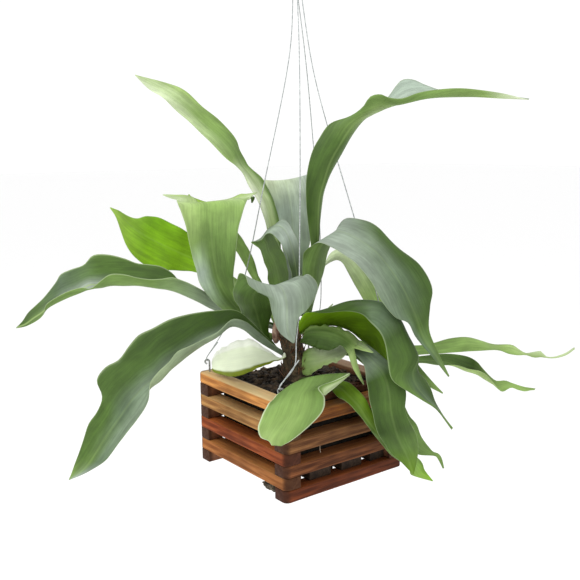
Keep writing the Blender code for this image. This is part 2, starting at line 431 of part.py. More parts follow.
def guide_rows(frond, count, columns):
    """Rows across a frond's three matched lines, and where each row lies among their points."""
    lines = []
    for name in ("left_edge", "spine", "right_edge"):
        guide = np.array(frond[name], dtype=float)
        lines.append(np.column_stack([smooth_values(axis, GUIDE_STEPS) for axis in guide.T]))
    steps = np.linalg.norm(np.diff(lines[1], axis=0), axis=1)
    length = np.concatenate([[0], np.cumsum(steps)])
    picks = np.interp(np.linspace(0, length[-1], count), length, np.arange(GUIDE_STEPS))
    left, middle, right = (np.column_stack([np.interp(picks, np.arange(GUIDE_STEPS), axis)
                                            for axis in line.T])[:, None] for line in lines)
    place = np.linspace(1, -1, columns + 1)[None, :, None]
    rows = middle + place * (left - right) / 2 + place ** 2 * ((left + right) / 2 - middle)
    return rows, picks * (len(frond["spine"]) - 1) / (GUIDE_STEPS - 1)


def flap_sheet(main, places, flap):
    """A strip of blade that folds under along the left margin."""
    first, last = flap["along"]
    chosen = [row for row, place in enumerate(places) if first <= place <= last]
    inner = main[chosen, 0]
    outer = smooth_points(flap["edge"], len(chosen))
    share = np.linspace(0, 1, FLAP_COLUMNS + 1)[None, :, None]
    return outer[:, None] + share * (inner - outer)[:, None]


def frond_sheets(frond, count, columns, lobe_count):
    """The main sheet of a frond, then its lobes and its flap, in millimetres."""
    if "left_edge" in frond:
        main, places = guide_rows(frond, count, columns)
        side = main[-1, 0] - main[-1, -1]
        side = side / np.linalg.norm(side)
    else:
        points = smooth_points(frond["spine"], count)
        heading = math.radians(frond["heading"])
        side = np.array((-math.sin(heading), math.cos(heading), 0.0))
        across, upper = blade_frames(points, side, smooth_values(frond["roll"], count))
        widths = [smooth_values(frond[half], count) for half in ("left", "right")]
        lifts = [np.radians(smooth_values(values, count)) for values in frond["lift"]]
        main = blade_rows(points, across, upper, widths, lifts, columns)
        side = across[-1]
    sheets = [main]
    half = columns // 2
    for index, lobe in enumerate(frond.get("lobes", [])):
        first = main[-1, :half + 1] if index == 0 else main[-1, half:]
        sheets.append(lobe_sheet(first, side, lobe, lobe_count, half))
    if "flap" in frond:
        sheets.append(flap_sheet(main, places, frond["flap"]))
    return sheets


def lobe_sheet(first, side, lobe, count, columns):
    """A lobe that grows out of half of the last row of its frond."""
    points = smooth_points(np.vstack([first[len(first) // 2], lobe["spine"]]), count)
    across, upper = blade_frames(points, side, np.zeros(count))
    widths = [smooth_values(lobe[half], count) for half in ("left", "right")]
    rows = blade_rows(points, across, upper, widths, [np.zeros(count)] * 2, columns)
    fade = (np.linspace(1, 0, count) ** 2)[:, None, None]
    return rows + fade * (first - rows[0])


def material(name, colour, roughness, metallic=0.0):
    """A Principled material."""
    made = bpy.data.materials.new(name)
    made.use_nodes = True
    made.diffuse_color = (*colour, 1.0)
    shader = made.node_tree.nodes["Principled BSDF"]
    shader.inputs["Base Color"].default_value = (*colour, 1.0)
    shader.inputs["Roughness"].default_value = roughness
    shader.inputs["Metallic"].default_value = metallic
    return made


def add_object(name, mesh, colour, roughness, metallic=0.0):
    """An object of the part, hung in the rim frame, with a material of its own."""
    made = bpy.data.objects.new(name, mesh)
    part_collection.objects.link(made)
    made.parent = rim
    mesh.materials.clear()
    mesh.materials.append(material(name, colour, roughness, metallic))
    return made


def add_cutter(name, mesh):
    """A shape that only cuts others."""
    made = bpy.data.objects.new(name, mesh)
    cutter_collection.objects.link(made)
    made.parent = rim
    made.hide_render = True
    made.display_type = "WIRE"
    return made


def cut(target, cutter):
    """Take the cutter's shape out of the target."""
    step = target.modifiers.new("cut", "BOOLEAN")
    step.operation = "DIFFERENCE"
    step.object = cutter
    step.solver = "EXACT"


def mesh_from(name, build):
    """A mesh filled by a function that takes a bmesh."""
    mesh = bpy.data.meshes.new(name)
    bm = bmesh.new()
    build(bm)
    bmesh.ops.recalc_face_normals(bm, faces=bm.faces)
    bm.to_mesh(mesh)
    bm.free()
    return mesh


def shade_round(mesh, angle=40):
    """Smooth shading that keeps the sharp edges."""
    mesh.shade_smooth()
    mesh.set_sharp_from_angle(angle=math.radians(angle))


def slat_mesh(name, length, width, rounded, low_end):
    """A slat along X with its outer side at -Y, its corners marked for rounding."""
    def build(bm):
        bmesh.ops.create_cube(bm, size=1.0)
        for vertex in bm.verts:
            vertex.co.x *= length
            vertex.co.y *= width
            vertex.co.z *= SLAT_HEIGHT - GAP
        weight = bm.edges.layers.float.new("bevel_weight_edge")
        for edge in bm.edges:
            a, b = (vertex.co for vertex in edge.verts)
            upright = abs(a.z - b.z) > 0 and a.y < 0
            foot = abs(a.y - b.y) > 0 and a.z < 0
            if rounded and upright:
                edge[weight] = 1.0
            if low_end and foot:
                edge[weight] = LOWER_EDGE_RADIUS / CORNER_RADIUS
    return mesh_from(name, build)


def add_slat(name, level, turn, length, width, inset, colour, low_end=False):
    """A slat of one level, turned about the basket's middle, with its corners rounded."""
    mesh = slat_mesh(name, length, width, rounded=inset == 0, low_end=low_end)
    slat = add_object(name, mesh, colour, 0.62)
    slat.rotation_euler.z = turn
    out = HALF_SIDE - inset - width / 2
    height = -RIM_HEIGHT + (level - 0.5) * SLAT_HEIGHT
    slat.location = (math.sin(turn) * out, -math.cos(turn) * out, height)
    if inset == 0:
        step = slat.modifiers.new("round_corners", "BEVEL")
        step.width = CORNER_RADIUS
        step.segments = 3
        step.limit_method = "WEIGHT"
        step.offset_type = "OFFSET"
    return slat


def build_side_slats():
    """Eight levels of side slats, laid across each other at the corners."""
    slats = []
    for level in range(1, SLAT_LEVELS + 1):
        along_x = level % 2 == 1
        sides = (("front", 0.0), ("back", math.pi)) if along_x else (("left", -math.pi / 2),
                                                                     ("right", math.pi / 2))
        shade = 0.06 * math.sin(2.4 * level)
        for side, turn in sides:
            colour = (0.30 + shade, 0.11 + 0.5 * shade, 0.045 + 0.2 * shade)
            slats.append(add_slat("slat_%s_%d" % (side, level), level, turn, BASKET_SIDE, SLAT_WIDTH, 0,
                                  colour, low_end=level == 1))
    return slats


def build_floor_slats():
    """Floor slats that lie across the lowest side slats."""
    for number, (place, width) in enumerate(FLOOR_SLATS, start=1):
        mesh = slat_mesh("floor_slat", FLOOR_LENGTH, width, rounded=False, low_end=False)
        slat = add_object("floor_slat_%d" % number, mesh, (0.11, 0.07, 0.045), 0.8)
        slat.rotation_euler.z = math.pi / 2
        slat.location = (place, 0.0, -RIM_HEIGHT + (FLOOR_LEVEL - 0.5) * SLAT_HEIGHT)


def tube_mesh(name, points, radius):
    """A round bar along a path, closed at both ends."""
    curve = bpy.data.curves.new(name, "CURVE")
    curve.dimensions = "3D"
    curve.bevel_depth = radius
    curve.bevel_resolution = 2
    curve.use_fill_caps = True
    spline = curve.splines.new("POLY")
    spline.points.add(len(points) - 1)
    for point, place in zip(spline.points, points):
        point.co = (*place, 1.0)
    holder = bpy.data.objects.new(name, curve)
    part_collection.objects.link(holder)
    evaluated = holder.evaluated_get(bpy.context.evaluated_depsgraph_get())
    mesh = bpy.data.meshes.new_from_object(evaluated)
    bpy.data.objects.remove(holder)
    bpy.data.curves.remove(curve)
    bm = bmesh.new()
    bm.from_mesh(mesh)
    bmesh.ops.remove_doubles(bm, verts=bm.verts, dist=1e-6)
    bmesh.ops.triangulate(bm, faces=bm.faces)
    bmesh.ops.recalc_face_normals(bm, faces=bm.faces)
    bm.to_mesh(mesh)
    bm.free()
    mesh.name = name
    return mesh


def rod_place(corner):
    """Where a corner's rod stands."""
    return Vector((corner[0] * (HALF_SIDE - ROD_INSET), corner[1] * (HALF_SIDE - ROD_INSET), 0.0))


def eye_middle(hanger):
    """The middle of the eye at the top of a corner rod."""
    return (rod_place(hanger["corner"]) + EYE_ALONG * (hanger["lean"] + EYE_RADIUS)
            + UP * EYE_HEIGHT)


def rod_path(hanger):
    """Up through the slats, a lean to the side and an eye on top."""
    foot = rod_place(hanger["corner"])
    leaned = foot + EYE_ALONG * hanger["lean"]
    path = [foot - UP * (RIM_HEIGHT - ROD_FOOT), foot + UP * 0.003, leaned + UP * 0.010]
    middle = eye_middle(hanger)
    for degrees in range(0, 271, 30):
        angle = math.radians(degrees)
        path.append(middle + EYE_RADIUS * (UP * math.sin(angle) - EYE_ALONG * math.cos(angle)))
    return path


def build_rods(slats):
    """Corner rods through the slat ends, and the plain holes they pass through."""
    for name, hanger in HANGERS.items():
        mesh = tube_mesh("rod_" + name, rod_path(hanger), ROD_RADIUS)
        shade_round(mesh)
        add_object("rod_" + name, mesh, (0.42, 0.43, 0.42), 0.35, 1.0)

        def bore(bm):
            bmesh.ops.create_cone(bm, cap_ends=True, segments=10, depth=RIM_HEIGHT + 0.02,
                                  radius1=ROD_RADIUS + 2 * GAP, radius2=ROD_RADIUS + 2 * GAP)
        cutter = add_cutter("bore_" + name, mesh_from("bore_" + name, bore))
        cutter.location = rod_place(hanger["corner"]) - UP * (RIM_HEIGHT / 2)
        for slat in slats:
            if slat_meets_corner(slat, hanger["corner"]):
                cut(slat, cutter)


def slat_meets_corner(slat, corner):
    """Whether a side slat ends at a corner: its side lies at the corner's x or at its y."""
    x, y, _ = slat.location
    return x * corner[0] > HALF_SIDE / 2 or y * corner[1] > HALF_SIDE / 2


def ring_middle():
    """The middle of the small ring below the hook."""
    return UP * (HANG - HOOK_MOUTH + HOOK_RADIUS - RING_DROP)


def hook_path():
    """The small ring that holds the wires, the shank and the open hook above it."""
    middle = ring_middle()
    path = []
    for degrees in range(75, 361, 15):
        angle = math.radians(degrees)
        path.append(middle + RING_RADIUS * Vector((math.cos(angle), 0.0, math.sin(angle))))
    path.append(middle + Vector((RING_RADIUS, 0.0, 0.007)))
    path.append(middle + Vector((RING_RADIUS + 0.0025, 0.0, 0.015)))
    path.append(middle + Vector((HOOK_MOUTH, 0.0, 0.023)))
    arc_middle = middle + UP * RING_DROP
    for degrees in range(0, 211, 15):
        angle = math.radians(degrees)
        path.append(arc_middle + HOOK_MOUTH * Vector((math.cos(angle), 0.0, math.sin(angle))))
    return path


def ring_loop(hanger):
    """The wire's loop over the ring, from its free end round to where it leaves downward."""
    angle = math.radians(hanger["place"])
    outward = Vector((math.sin(angle), 0.0, -math.cos(angle)))
    seat = ring_middle() + RING_RADIUS * outward
    leave = Vector((0.0, hanger["side"], 0.0))
    reach = HOOK_RADIUS + WIRE_CLEARANCE + WIRE_RADIUS
    path = []
    for degrees in range(225, -1, -25):
        turn = math.radians(degrees)
        path.append(seat + reach * (leave * math.cos(turn) - outward * math.sin(turn)))
    return path


def wire_path(hanger):
    """From the ring down to the eye, under its top and back up as a short tail."""
    start = ring_loop(hanger)
    top_of_eye = eye_middle(hanger) + UP * EYE_RADIUS
    reach = ROD_RADIUS + WIRE_CLEARANCE + WIRE_RADIUS
    arrive = EYE_ACROSS * hanger["fold"]
    fold = []
    for degrees in range(0, 181, 30):
        turn = math.radians(degrees)
        fold.append(top_of_eye + reach * (arrive * math.cos(turn) - UP * math.sin(turn)))
    middle = [start[-1] - UP * 0.004, start[-1] - UP * 0.012]
    middle += [Vector(point) * MILLIMETRE for point in hanger["route"]]
    middle.append(fold[0] + UP * 0.004)
    spread = [Vector(point) for point in smooth_points([list(point) for point in middle], WIRE_STEPS)]
    tail = fold[-1] + UP * 0.004
    tip = Vector(hanger["tail"]) * MILLIMETRE
    return start + spread + fold + [tail, tip]


def build_hanger():
    """The hook and the four wires that join it to the basket."""
    mesh = tube_mesh("hook", hook_path(), HOOK_RADIUS)
    shade_round(mesh)
    add_object("hook", mesh, (0.42, 0.43, 0.42), 0.35, 1.0)
    for name, hanger in HANGERS.items():
        mesh = tube_mesh("wire_" + name, wire_path(hanger), WIRE_RADIUS)
        shade_round(mesh)
        add_object("wire_" + name, mesh, (0.5, 0.52, 0.52), 0.35, 1.0)


def rhizome_mesh(name, grow):
    """The upright stump, a stack of uneven rings. "grow" swells it for the holes it stands in."""
    def build(bm):
        rings = []
        sides = 14
        for level, (height, x, y, radius) in enumerate(RHIZOME):
            ring = []
            for side in range(sides):
                angle = 2 * math.pi * side / sides
                bump = 1 + 0.05 * math.sin(3 * angle + level) + 0.04 * math.sin(5 * angle - 2 * level)
                reach = radius * bump * MILLIMETRE + grow
                place = (x * MILLIMETRE + reach * math.cos(angle),
                         y * MILLIMETRE + reach * math.sin(angle), height * MILLIMETRE)
                ring.append(bm.verts.new(place))
            rings.append(ring)
        for lower, upper in zip(rings[:-1], rings[1:]):
            for side in range(sides):
                after = (side + 1) % sides
                bm.faces.new((lower[side], lower[after], upper[after], upper[side]))
        for ring, shift in ((rings[0], -grow), (rings[-1], grow + 0.002)):
            middle = bm.verts.new(sum((vertex.co for vertex in ring), Vector()) / sides + UP * shift)
            for side in range(sides):
                bm.faces.new((ring[side], ring[(side + 1) % sides], middle))
        bmesh.ops.triangulate(bm, faces=bm.faces)
    return mesh_from(name, build)


def medium_mesh():
    """The block of bark medium, with a rough top that rises toward the rhizome."""
    def build(bm):
        reach = HALF_SIDE - SLAT_WIDTH - MEDIUM_GAP
        floor = -RIM_HEIGHT + FLOOR_LEVEL * SLAT_HEIGHT + GAP
        draw = random.Random(5)
        places = np.linspace(-reach, reach, MEDIUM_CELLS + 1)
        top = []
        for x in places:
            row = []
            for y in places:
                mound = MEDIUM_MOUND * max(0.0, 1 - math.hypot(x, y) / reach)
                height = MEDIUM_LEVEL + mound + draw.uniform(-0.0025, 0.0025)
                row.append(bm.verts.new((x, y, height)))
            top.append(row)
        for i in range(MEDIUM_CELLS):
            for j in range(MEDIUM_CELLS):
                bm.faces.new((top[i][j], top[i + 1][j], top[i + 1][j + 1], top[i][j + 1]))
        rim_line = ([top[i][0] for i in range(MEDIUM_CELLS)] + [top[-1][j] for j in range(MEDIUM_CELLS)]
                    + [top[i][-1] for i in range(MEDIUM_CELLS, 0, -1)]
                    + [top[0][j] for j in range(MEDIUM_CELLS, 0, -1)])
        low = [bm.verts.new((vertex.co.x, vertex.co.y, floor)) for vertex in rim_line]
        for k in range(len(rim_line)):
            after = (k + 1) % len(rim_line)
            bm.faces.new((rim_line[k], low[k], low[after], rim_line[after]))
        bm.faces.new(low)
        bmesh.ops.triangulate(bm, faces=bm.faces)
    return mesh_from("bark_medium", build)


def build_crown():
    """The rhizome in its hole in the medium, and the bud at its foot."""
    mesh = rhizome_mesh("rhizome", 0.0)
    shade_round(mesh, 60)
    add_object("rhizome", mesh, (0.075, 0.05, 0.03), 0.9)
    clearance = add_cutter("rhizome_clearance", rhizome_mesh("rhizome_clearance", GAP))
    medium = add_object("bark_medium", medium_mesh(), (0.03, 0.022, 0.016), 0.95)
    cut(medium, clearance)
    add_object("bud", bud_mesh(), (0.28, 0.17, 0.13), 0.7)
    cut(bpy.data.objects["bud"], clearance)
    return clearance


def bud_mesh():
    """A pointed new bud that stands against the rhizome."""
    def build(bm):
        bmesh.ops.create_uvsphere(bm, u_segments=10, v_segments=7, radius=1.0)
        for vertex in bm.verts:
            taper = 1 - 0.45 * (vertex.co.z + 1) / 2
            vertex.co.x *= BUD_RADIUS * taper
            vertex.co.y *= BUD_RADIUS * taper
            vertex.co.z *= BUD_HEIGHT / 2
            vertex.co += Vector(BUD_PLACE) * MILLIMETRE
    mesh = mesh_from("bud", build)
    shade_round(mesh, 60)
    return mesh


def blade_mesh(name, frond):
    """A frond's open sheet, all in triangles so that both faces are split alike."""
    def build(bm):
        made = {}
        for sheet in frond_sheets(frond, frond.get("rows", BLADE_ROWS), BLADE_COLUMNS, LOBE_ROWS):
            grid = [[shared_vertex(bm, made, place * MILLIMETRE) for place in row] for row in sheet]
            for near, far in zip(grid[:-1], grid[1:]):
                for k in range(len(near) - 1):
                    bm.faces.new((near[k], near[k + 1], far[k + 1]))
                    bm.faces.new((near[k], far[k + 1], far[k]))
    mesh = bpy.data.meshes.new(name)
    bm = bmesh.new()
    build(bm)
    bm.to_mesh(mesh)
    bm.free()
    mesh.shade_smooth()
    return mesh


def shared_vertex(bm, made, place):
    """The vertex at a place, made once, so that a lobe joins its frond."""
    key = tuple(round(float(value), 6) for value in place)
    if key not in made:
        made[key] = bm.verts.new(key)
    return made[key]


def build_fronds(clearance):
    """Every frond and shield, given thickness and trimmed to the rhizome it grows from."""
    for name, frond in FRONDS.items():
        blade = add_object(name, blade_mesh(name, frond), frond["colour"], 0.55)
        step = blade.modifiers.new("thickness", "SOLIDIFY")
        step.thickness = BLADE_THICKNESS
        step.offset = 0.0
        cut(blade, clearance)


def scrap_mesh():
    """The lump of moss and root that has worked out below the left side."""
    def build(bm):
        bmesh.ops.create_icosphere(bm, subdivisions=2, radius=1.0)
        draw = random.Random(9)
        for vertex in bm.verts:
            swell = 1 + draw.uniform(-0.14, 0.14)
            vertex.co = Vector((vertex.co.x * SCRAP_HALF[0], vertex.co.y * SCRAP_HALF[1],
                                vertex.co.z * SCRAP_HALF[2])) * swell
    return mesh_from("moss_scrap", build)


def build_scrap():
    """Place the scrap under the left side slat."""
    scrap = add_object("moss_scrap", scrap_mesh(), (0.09, 0.075, 0.05), 0.95)
    scrap.location = SCRAP_PLACE


for old in list(bpy.data.objects):
    bpy.data.objects.remove(old, do_unlink=True)
part_collection = bpy.data.collections.new("staghorn_fern")
cutter_collection = bpy.data.collections.new("cutters")
bpy.context.scene.collection.children.link(part_collection)
bpy.context.scene.collection.children.link(cutter_collection)
rim = bpy.data.objects.new("rim_frame", None)
part_collection.objects.link(rim)
rim.location = (0.0, 0.0, -HANG)

side_slats = build_side_slats()
build_floor_slats()
build_rods(side_slats)
build_hanger()
crown_clearance = build_crown()
build_fronds(crown_clearance)
build_scrap()
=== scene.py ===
"""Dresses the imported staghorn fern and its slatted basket: fine fronds, wood, bark, wire and light.

Lengths named in capitals are in metres unless a comment says millimetres. The rim frame's origin is
the middle of the basket's rim.
"""
import math
import random

import bmesh
import bpy
import numpy as np
from mathutils import Matrix, Vector, noise


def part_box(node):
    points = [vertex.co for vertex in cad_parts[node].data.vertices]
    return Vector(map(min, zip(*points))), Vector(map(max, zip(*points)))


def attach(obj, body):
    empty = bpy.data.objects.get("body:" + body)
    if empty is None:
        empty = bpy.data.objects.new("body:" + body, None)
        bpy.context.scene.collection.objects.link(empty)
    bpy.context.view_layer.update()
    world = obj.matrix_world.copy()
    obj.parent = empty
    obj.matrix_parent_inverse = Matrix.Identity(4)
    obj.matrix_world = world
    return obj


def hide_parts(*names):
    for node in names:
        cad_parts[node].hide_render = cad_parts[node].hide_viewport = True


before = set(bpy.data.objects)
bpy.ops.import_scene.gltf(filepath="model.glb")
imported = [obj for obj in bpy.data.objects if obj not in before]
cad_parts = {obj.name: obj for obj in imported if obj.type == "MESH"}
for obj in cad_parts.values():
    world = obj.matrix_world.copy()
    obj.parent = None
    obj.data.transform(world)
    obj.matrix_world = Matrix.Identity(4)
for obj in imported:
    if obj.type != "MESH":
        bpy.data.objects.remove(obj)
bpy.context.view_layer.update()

MILLIMETRE = 0.001
UP = Vector((0.0, 0.0, 1.0))
SIDEWAYS = Vector((1.0, 0.0, 0.0))

# The basket, as packed
RIM_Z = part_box("slat_left_8")[1][2]
BASKET_LOW_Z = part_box("slat_front_1")[0][2]
BASKET_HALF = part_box("slat_front_1")[1][0]
SLAT_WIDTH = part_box("slat_left_8")[1][0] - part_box("slat_left_8")[0][0]
RIM = Vector((0.0, 0.0, RIM_Z))
CORNER_RADIUS = 0.008
CORNER_SEGMENTS = 8
SLAT_EASE = 0.0012
RIM_EASE = 0.0028
EASE_SEGMENTS = 3
RIM_LEVEL = 8
SLAT_CUTS = 24
SLAT_CUT_REACH = 0.46
SLAT_WANDER = 0.0005
# The slats' unevenness would start from the clock without a seed
WANDER_SEED = 1

# Rods and their eyes, which face along the loop, level. The shown rods are a little fuller.
ROD_RADIUS = 0.0011
ROD_SWELL = 1.2
ROD_INSET = 0.012
ROD_FOOT = 0.001
ROD_TOP = 0.003
ROD_NECK = 0.010
EYE_RADIUS = 0.0031
EYE_HEIGHT = 0.0145
EYE_ALONG = Vector((-0.79, 0.61, 0.0)).normalized()
EYE_ACROSS = Vector((-0.61, -0.79, 0.0)).normalized()

# Wires: how far they run straight down from the ring, and how many points each path has
WIRE_RADIUS = 0.0007
WIRE_CLEARANCE = 0.0003
WIRE_LEADS = (0.004, 0.012)
WIRE_STEPS = 18
ROD_POINTS = 90
WIRE_POINTS = 260
HOOK_POINTS = 160

# The hook, with the ring below it and the bends of its shank: sideways and up from the ring
HANG = 0.575
HOOK_RADIUS = 0.0012
HOOK_MOUTH = 0.011
RING_RADIUS = 0.0065
RING_DROP = 0.030
HOOK_SHANK = ((RING_RADIUS, 0.007), (RING_RADIUS + 0.0025, 0.015), (HOOK_MOUTH, 0.023))

# Blades: rows and columns of points, and thickness. Waves and spans are in millimetres.
FINE_ROWS = 96
FINE_COLUMNS = 22
FINE_LOBE = 26
FLAP_COLUMNS = 2
GUIDE_STEPS = 400
CURVE_STEPS = 40
TIP_HALF_WIDTH = 0.0008
LEAF_HALF_THICKNESS = 0.00045
STALK_HALF_THICKNESS = 0.0009
WAVE_HEIGHT = 1.6
WAVE_COUNT = 5
FLAP_SPAN = 20
LOBE_SPAN = 12
# Where a lobe's tip lies along its frond, whose main blade ends at 1
LOBE_END = 1.4

# The medium, its loose chips, and the root that has sunk between the floor slats
MEDIUM_LEVEL = -0.009
MEDIUM_MOUND = 0.010
MEDIUM_FINE = 60
MEDIUM_LEVELS = 36
MEDIUM_PULL = 0.02
MEDIUM_ROUGH = 0.0035
CHIP_COUNT = 420
CHIP_SIZES = ((0.004, 0.010), (0.002, 0.005), (0.0015, 0.0035))
CHIP_TURNS = ((0, 2 * math.pi, "Z"), (-0.6, 0.6, "X"), (-0.5, 0.5, "Y"))
CHIP_EDGE = 0.006
CHIP_LIFT = 0.001
CHIP_MOUND_REACH = 0.077
CHIP_CLEAR = 0.026
SUNK_GAP = 0.0012
SUNK_EDGE = 0.002
SUNK_TOP = 0.001
SUNK_DEPTH = 0.0190
SUNK_ROUGH = 0.0025
SUNK_GRID = (8, 60)

# The rhizome's mesh and scales, the bud, whose place is in millimetres, the scrap and the pale root
STUMP_SIDES = 56
STUMP_LEVELS = 64
CHAFF_COUNT = 260
CHAFF_THICKNESS = 0.35
BUD_PLACE = (-26, 18, 60)
BUD_RADIUS = 0.0065
BUD_HEIGHT = 0.032
SCRAP_HALF = (0.007, 0.018, 0.0068)
SCRAP_PLACE = (-0.091, -0.058, -0.1203)
PALE_ROOT = ((-0.031, -0.078, -0.064), (-0.033, -0.084, -0.067), (-0.034, -0.086, -0.075),
             (-0.033, -0.086, -0.083))
PALE_ROOT_RADIUS = 0.0006
PALE_ROOT_POINTS = 24

# The surround's strength, the floor, and soft lights by name, place, size and power
SURROUND = 1.06
FLOOR_Z = BASKET_LOW_Z - 0.55
FLOOR_HALF = 30.0
LIGHT_AIM = Vector((0.0, 0.0, -0.45))
LIGHTS = (("key_light", (-1.9, 0.5, 1.3), 1.4, 34.0),
          ("fill_light", (-0.4, -2.4, 0.6), 1.6, 10.0))

# The camera: place, lens in millimetres, and in degrees its turn about Z, its drop and its roll
CAMERA_PLACE = (-0.680, -0.864, BASKET_LOW_Z + 0.442)
LENS = 50.9
SENSOR = 36.0
CAMERA_TURN = -37.6
CAMERA_DROP = 10.1
CAMERA_ROLL = -0.49

# The dark of the slat ends: end grain, with painted shade at the basket's corners
END_GRAIN_AND_CORNER_SHADE = (0.032, 0.011, 0.005)
# A dark red-brown painted shade, laid on the medium's front top edge under the leaves
RED_BROWN_SHADE = (0.10, 0.035, 0.014)
# Wood looks by side, or by side and level: light grain, dark grain, the colour of what faces up (grey
# weathering with painted top light) and how much of it. The sides and levels are lit and shaded copies of
# one wood: painted light on the upper left slats, painted shade lower down, on the front side and on the
# floor.
WOOD = {
    "floor": ((0.06, 0.035, 0.02), (0.02, 0.012, 0.008), (0.12, 0.10, 0.07), 0.3),
    "back": ((0.36, 0.17, 0.08), (0.16, 0.06, 0.03), (0.36, 0.27, 0.18), 0.4),
    "right": ((0.40, 0.19, 0.09), (0.18, 0.07, 0.035), (0.38, 0.28, 0.18), 0.5),
    "front7": ((0.37, 0.13, 0.018), (0.10, 0.032, 0.008), (0.42, 0.18, 0.045), 0.3),
    "front5": ((0.28, 0.125, 0.040), (0.085, 0.032, 0.011), (0.34, 0.17, 0.07), 0.3),
    "front3": ((0.25, 0.085, 0.025), (0.06, 0.018, 0.006), (0.36, 0.15, 0.05), 0.3),
    "front1": ((0.20, 0.045, 0.010), (0.06, 0.014, 0.005), (0.26, 0.08, 0.02), 0.3),
    "left8": ((0.82, 0.37, 0.09), (0.34, 0.13, 0.035), (0.58, 0.44, 0.22), 0.9),
    "left6": ((0.56, 0.29, 0.085), (0.22, 0.095, 0.028), (0.50, 0.36, 0.17), 0.6),
    "left4": ((0.42, 0.095, 0.016), (0.13, 0.022, 0.004), (0.40, 0.16, 0.05), 0.3),
    "left2": ((0.50, 0.19, 0.045), (0.20, 0.062, 0.014), (0.42, 0.22, 0.08), 0.3),
}
# Plain looks: dark, light, scale of the mottling and roughness, then metallic, relief and its strength
MATTER = {
    "galvanised_steel": ((0.20, 0.21, 0.21), (0.50, 0.52, 0.51), 260.0, 0.42, 0.85, 0.0002, 0.3),
    "hanger_wire": ((0.30, 0.32, 0.32), (0.55, 0.58, 0.57), 260.0, 0.45, 0.6, 0.0002, 0.3),
    "rhizome_bark": ((0.030, 0.022, 0.012), (0.12, 0.088, 0.048), 120.0, 0.85),
    "papery_chaff": ((0.09, 0.04, 0.02), (0.26, 0.13, 0.07), 90.0, 0.7),
    # The potting bark's near black is its dark colour with painted shade, inside the basket and between
    # the slats
    "potting_bark": ((0.003, 0.003, 0.002), (0.018, 0.014, 0.009), 110.0, 0.95),
    "bark_chip": ((0.008, 0.006, 0.005), (0.085, 0.055, 0.032), 60.0, 0.85),
    # The sunk roots share that near black, painted shade between the floor slats
    "sunk_roots": ((0.003, 0.003, 0.002), (0.018, 0.014, 0.009), 110.0, 0.95),
    "bud_skin": ((0.16, 0.08, 0.055), (0.36, 0.24, 0.17), 160.0, 0.65),
    "moss_and_root": ((0.035, 0.028, 0.018), (0.16, 0.13, 0.09), 140.0, 0.9),
    "pale_root": ((0.35, 0.26, 0.18), (0.62, 0.52, 0.40), 200.0, 0.7),
}
# What grows or lies in the basket and takes a dark red-brown painted shade along its front top edge,
# under the leaves
RED_SHADE_FRONTED = ("potting_bark", "bark_chip")

# Rhizome sections from the foot up: height, centre x, centre y and radius, in millimetres
RHIZOME = ((-22, -8, -8, 19), (-10, -8, -8, 21), (6, -9, -5, 20), (22, -9, -2, 17), (38, -9, 4, 16),
           (54, -9, 9, 17), (70, -7, 15, 18), (84, -5, 19, 16), (95, -4, 22, 12), (102, -4, 23, 7))

# The four hanger wires. A wire's route runs from the hook's ring to its eye, in millimetres in the rim
# frame. "place" is where it hangs on the ring, in degrees from the bottom, and "side" is the face it
# leaves from. "corner" is the basket corner, "lean" the sideways lean of its rod in metres, "fold" the
# side of the eye it comes down on, and "tail" where the folded back end points.
HANGERS = {
    "front": dict(
        corner=(-1, -1), place=-12, side=-1, lean=0.005, fold=-1, tail=(-81, -103, 55),
        route=[(-11, -19, 419), (-26, -38, 281), (-33, -45, 193), (-37, -49, 150), (-48, -63, 113),
               (-71, -84, 66), (-77, -89, 45), (-82, -91, 31)]),
    "left": dict(
        corner=(-1, 1), place=-36, side=1, lean=0.0, fold=1, tail=(-78, 84, 42),
        route=[(-5, 11, 422), (-29, 37, 260), (-48, 56, 141), (-66, 73, 73)]),
    "right": dict(
        corner=(1, -1), place=36, side=-1, lean=0.0, fold=-1, tail=(82, -86, 42),
        route=[(11, -16, 420), (25, -31, 338), (51, -55, 219), (77, -79, 98)]),
    "back": dict(
        corner=(1, 1), place=12, side=1, lean=0.0, fold=1, tail=(84, 92, 42),
        route=[(29, 18, 424), (58, 39, 321), (83, 54, 190), (94, 68, 66)]),
}

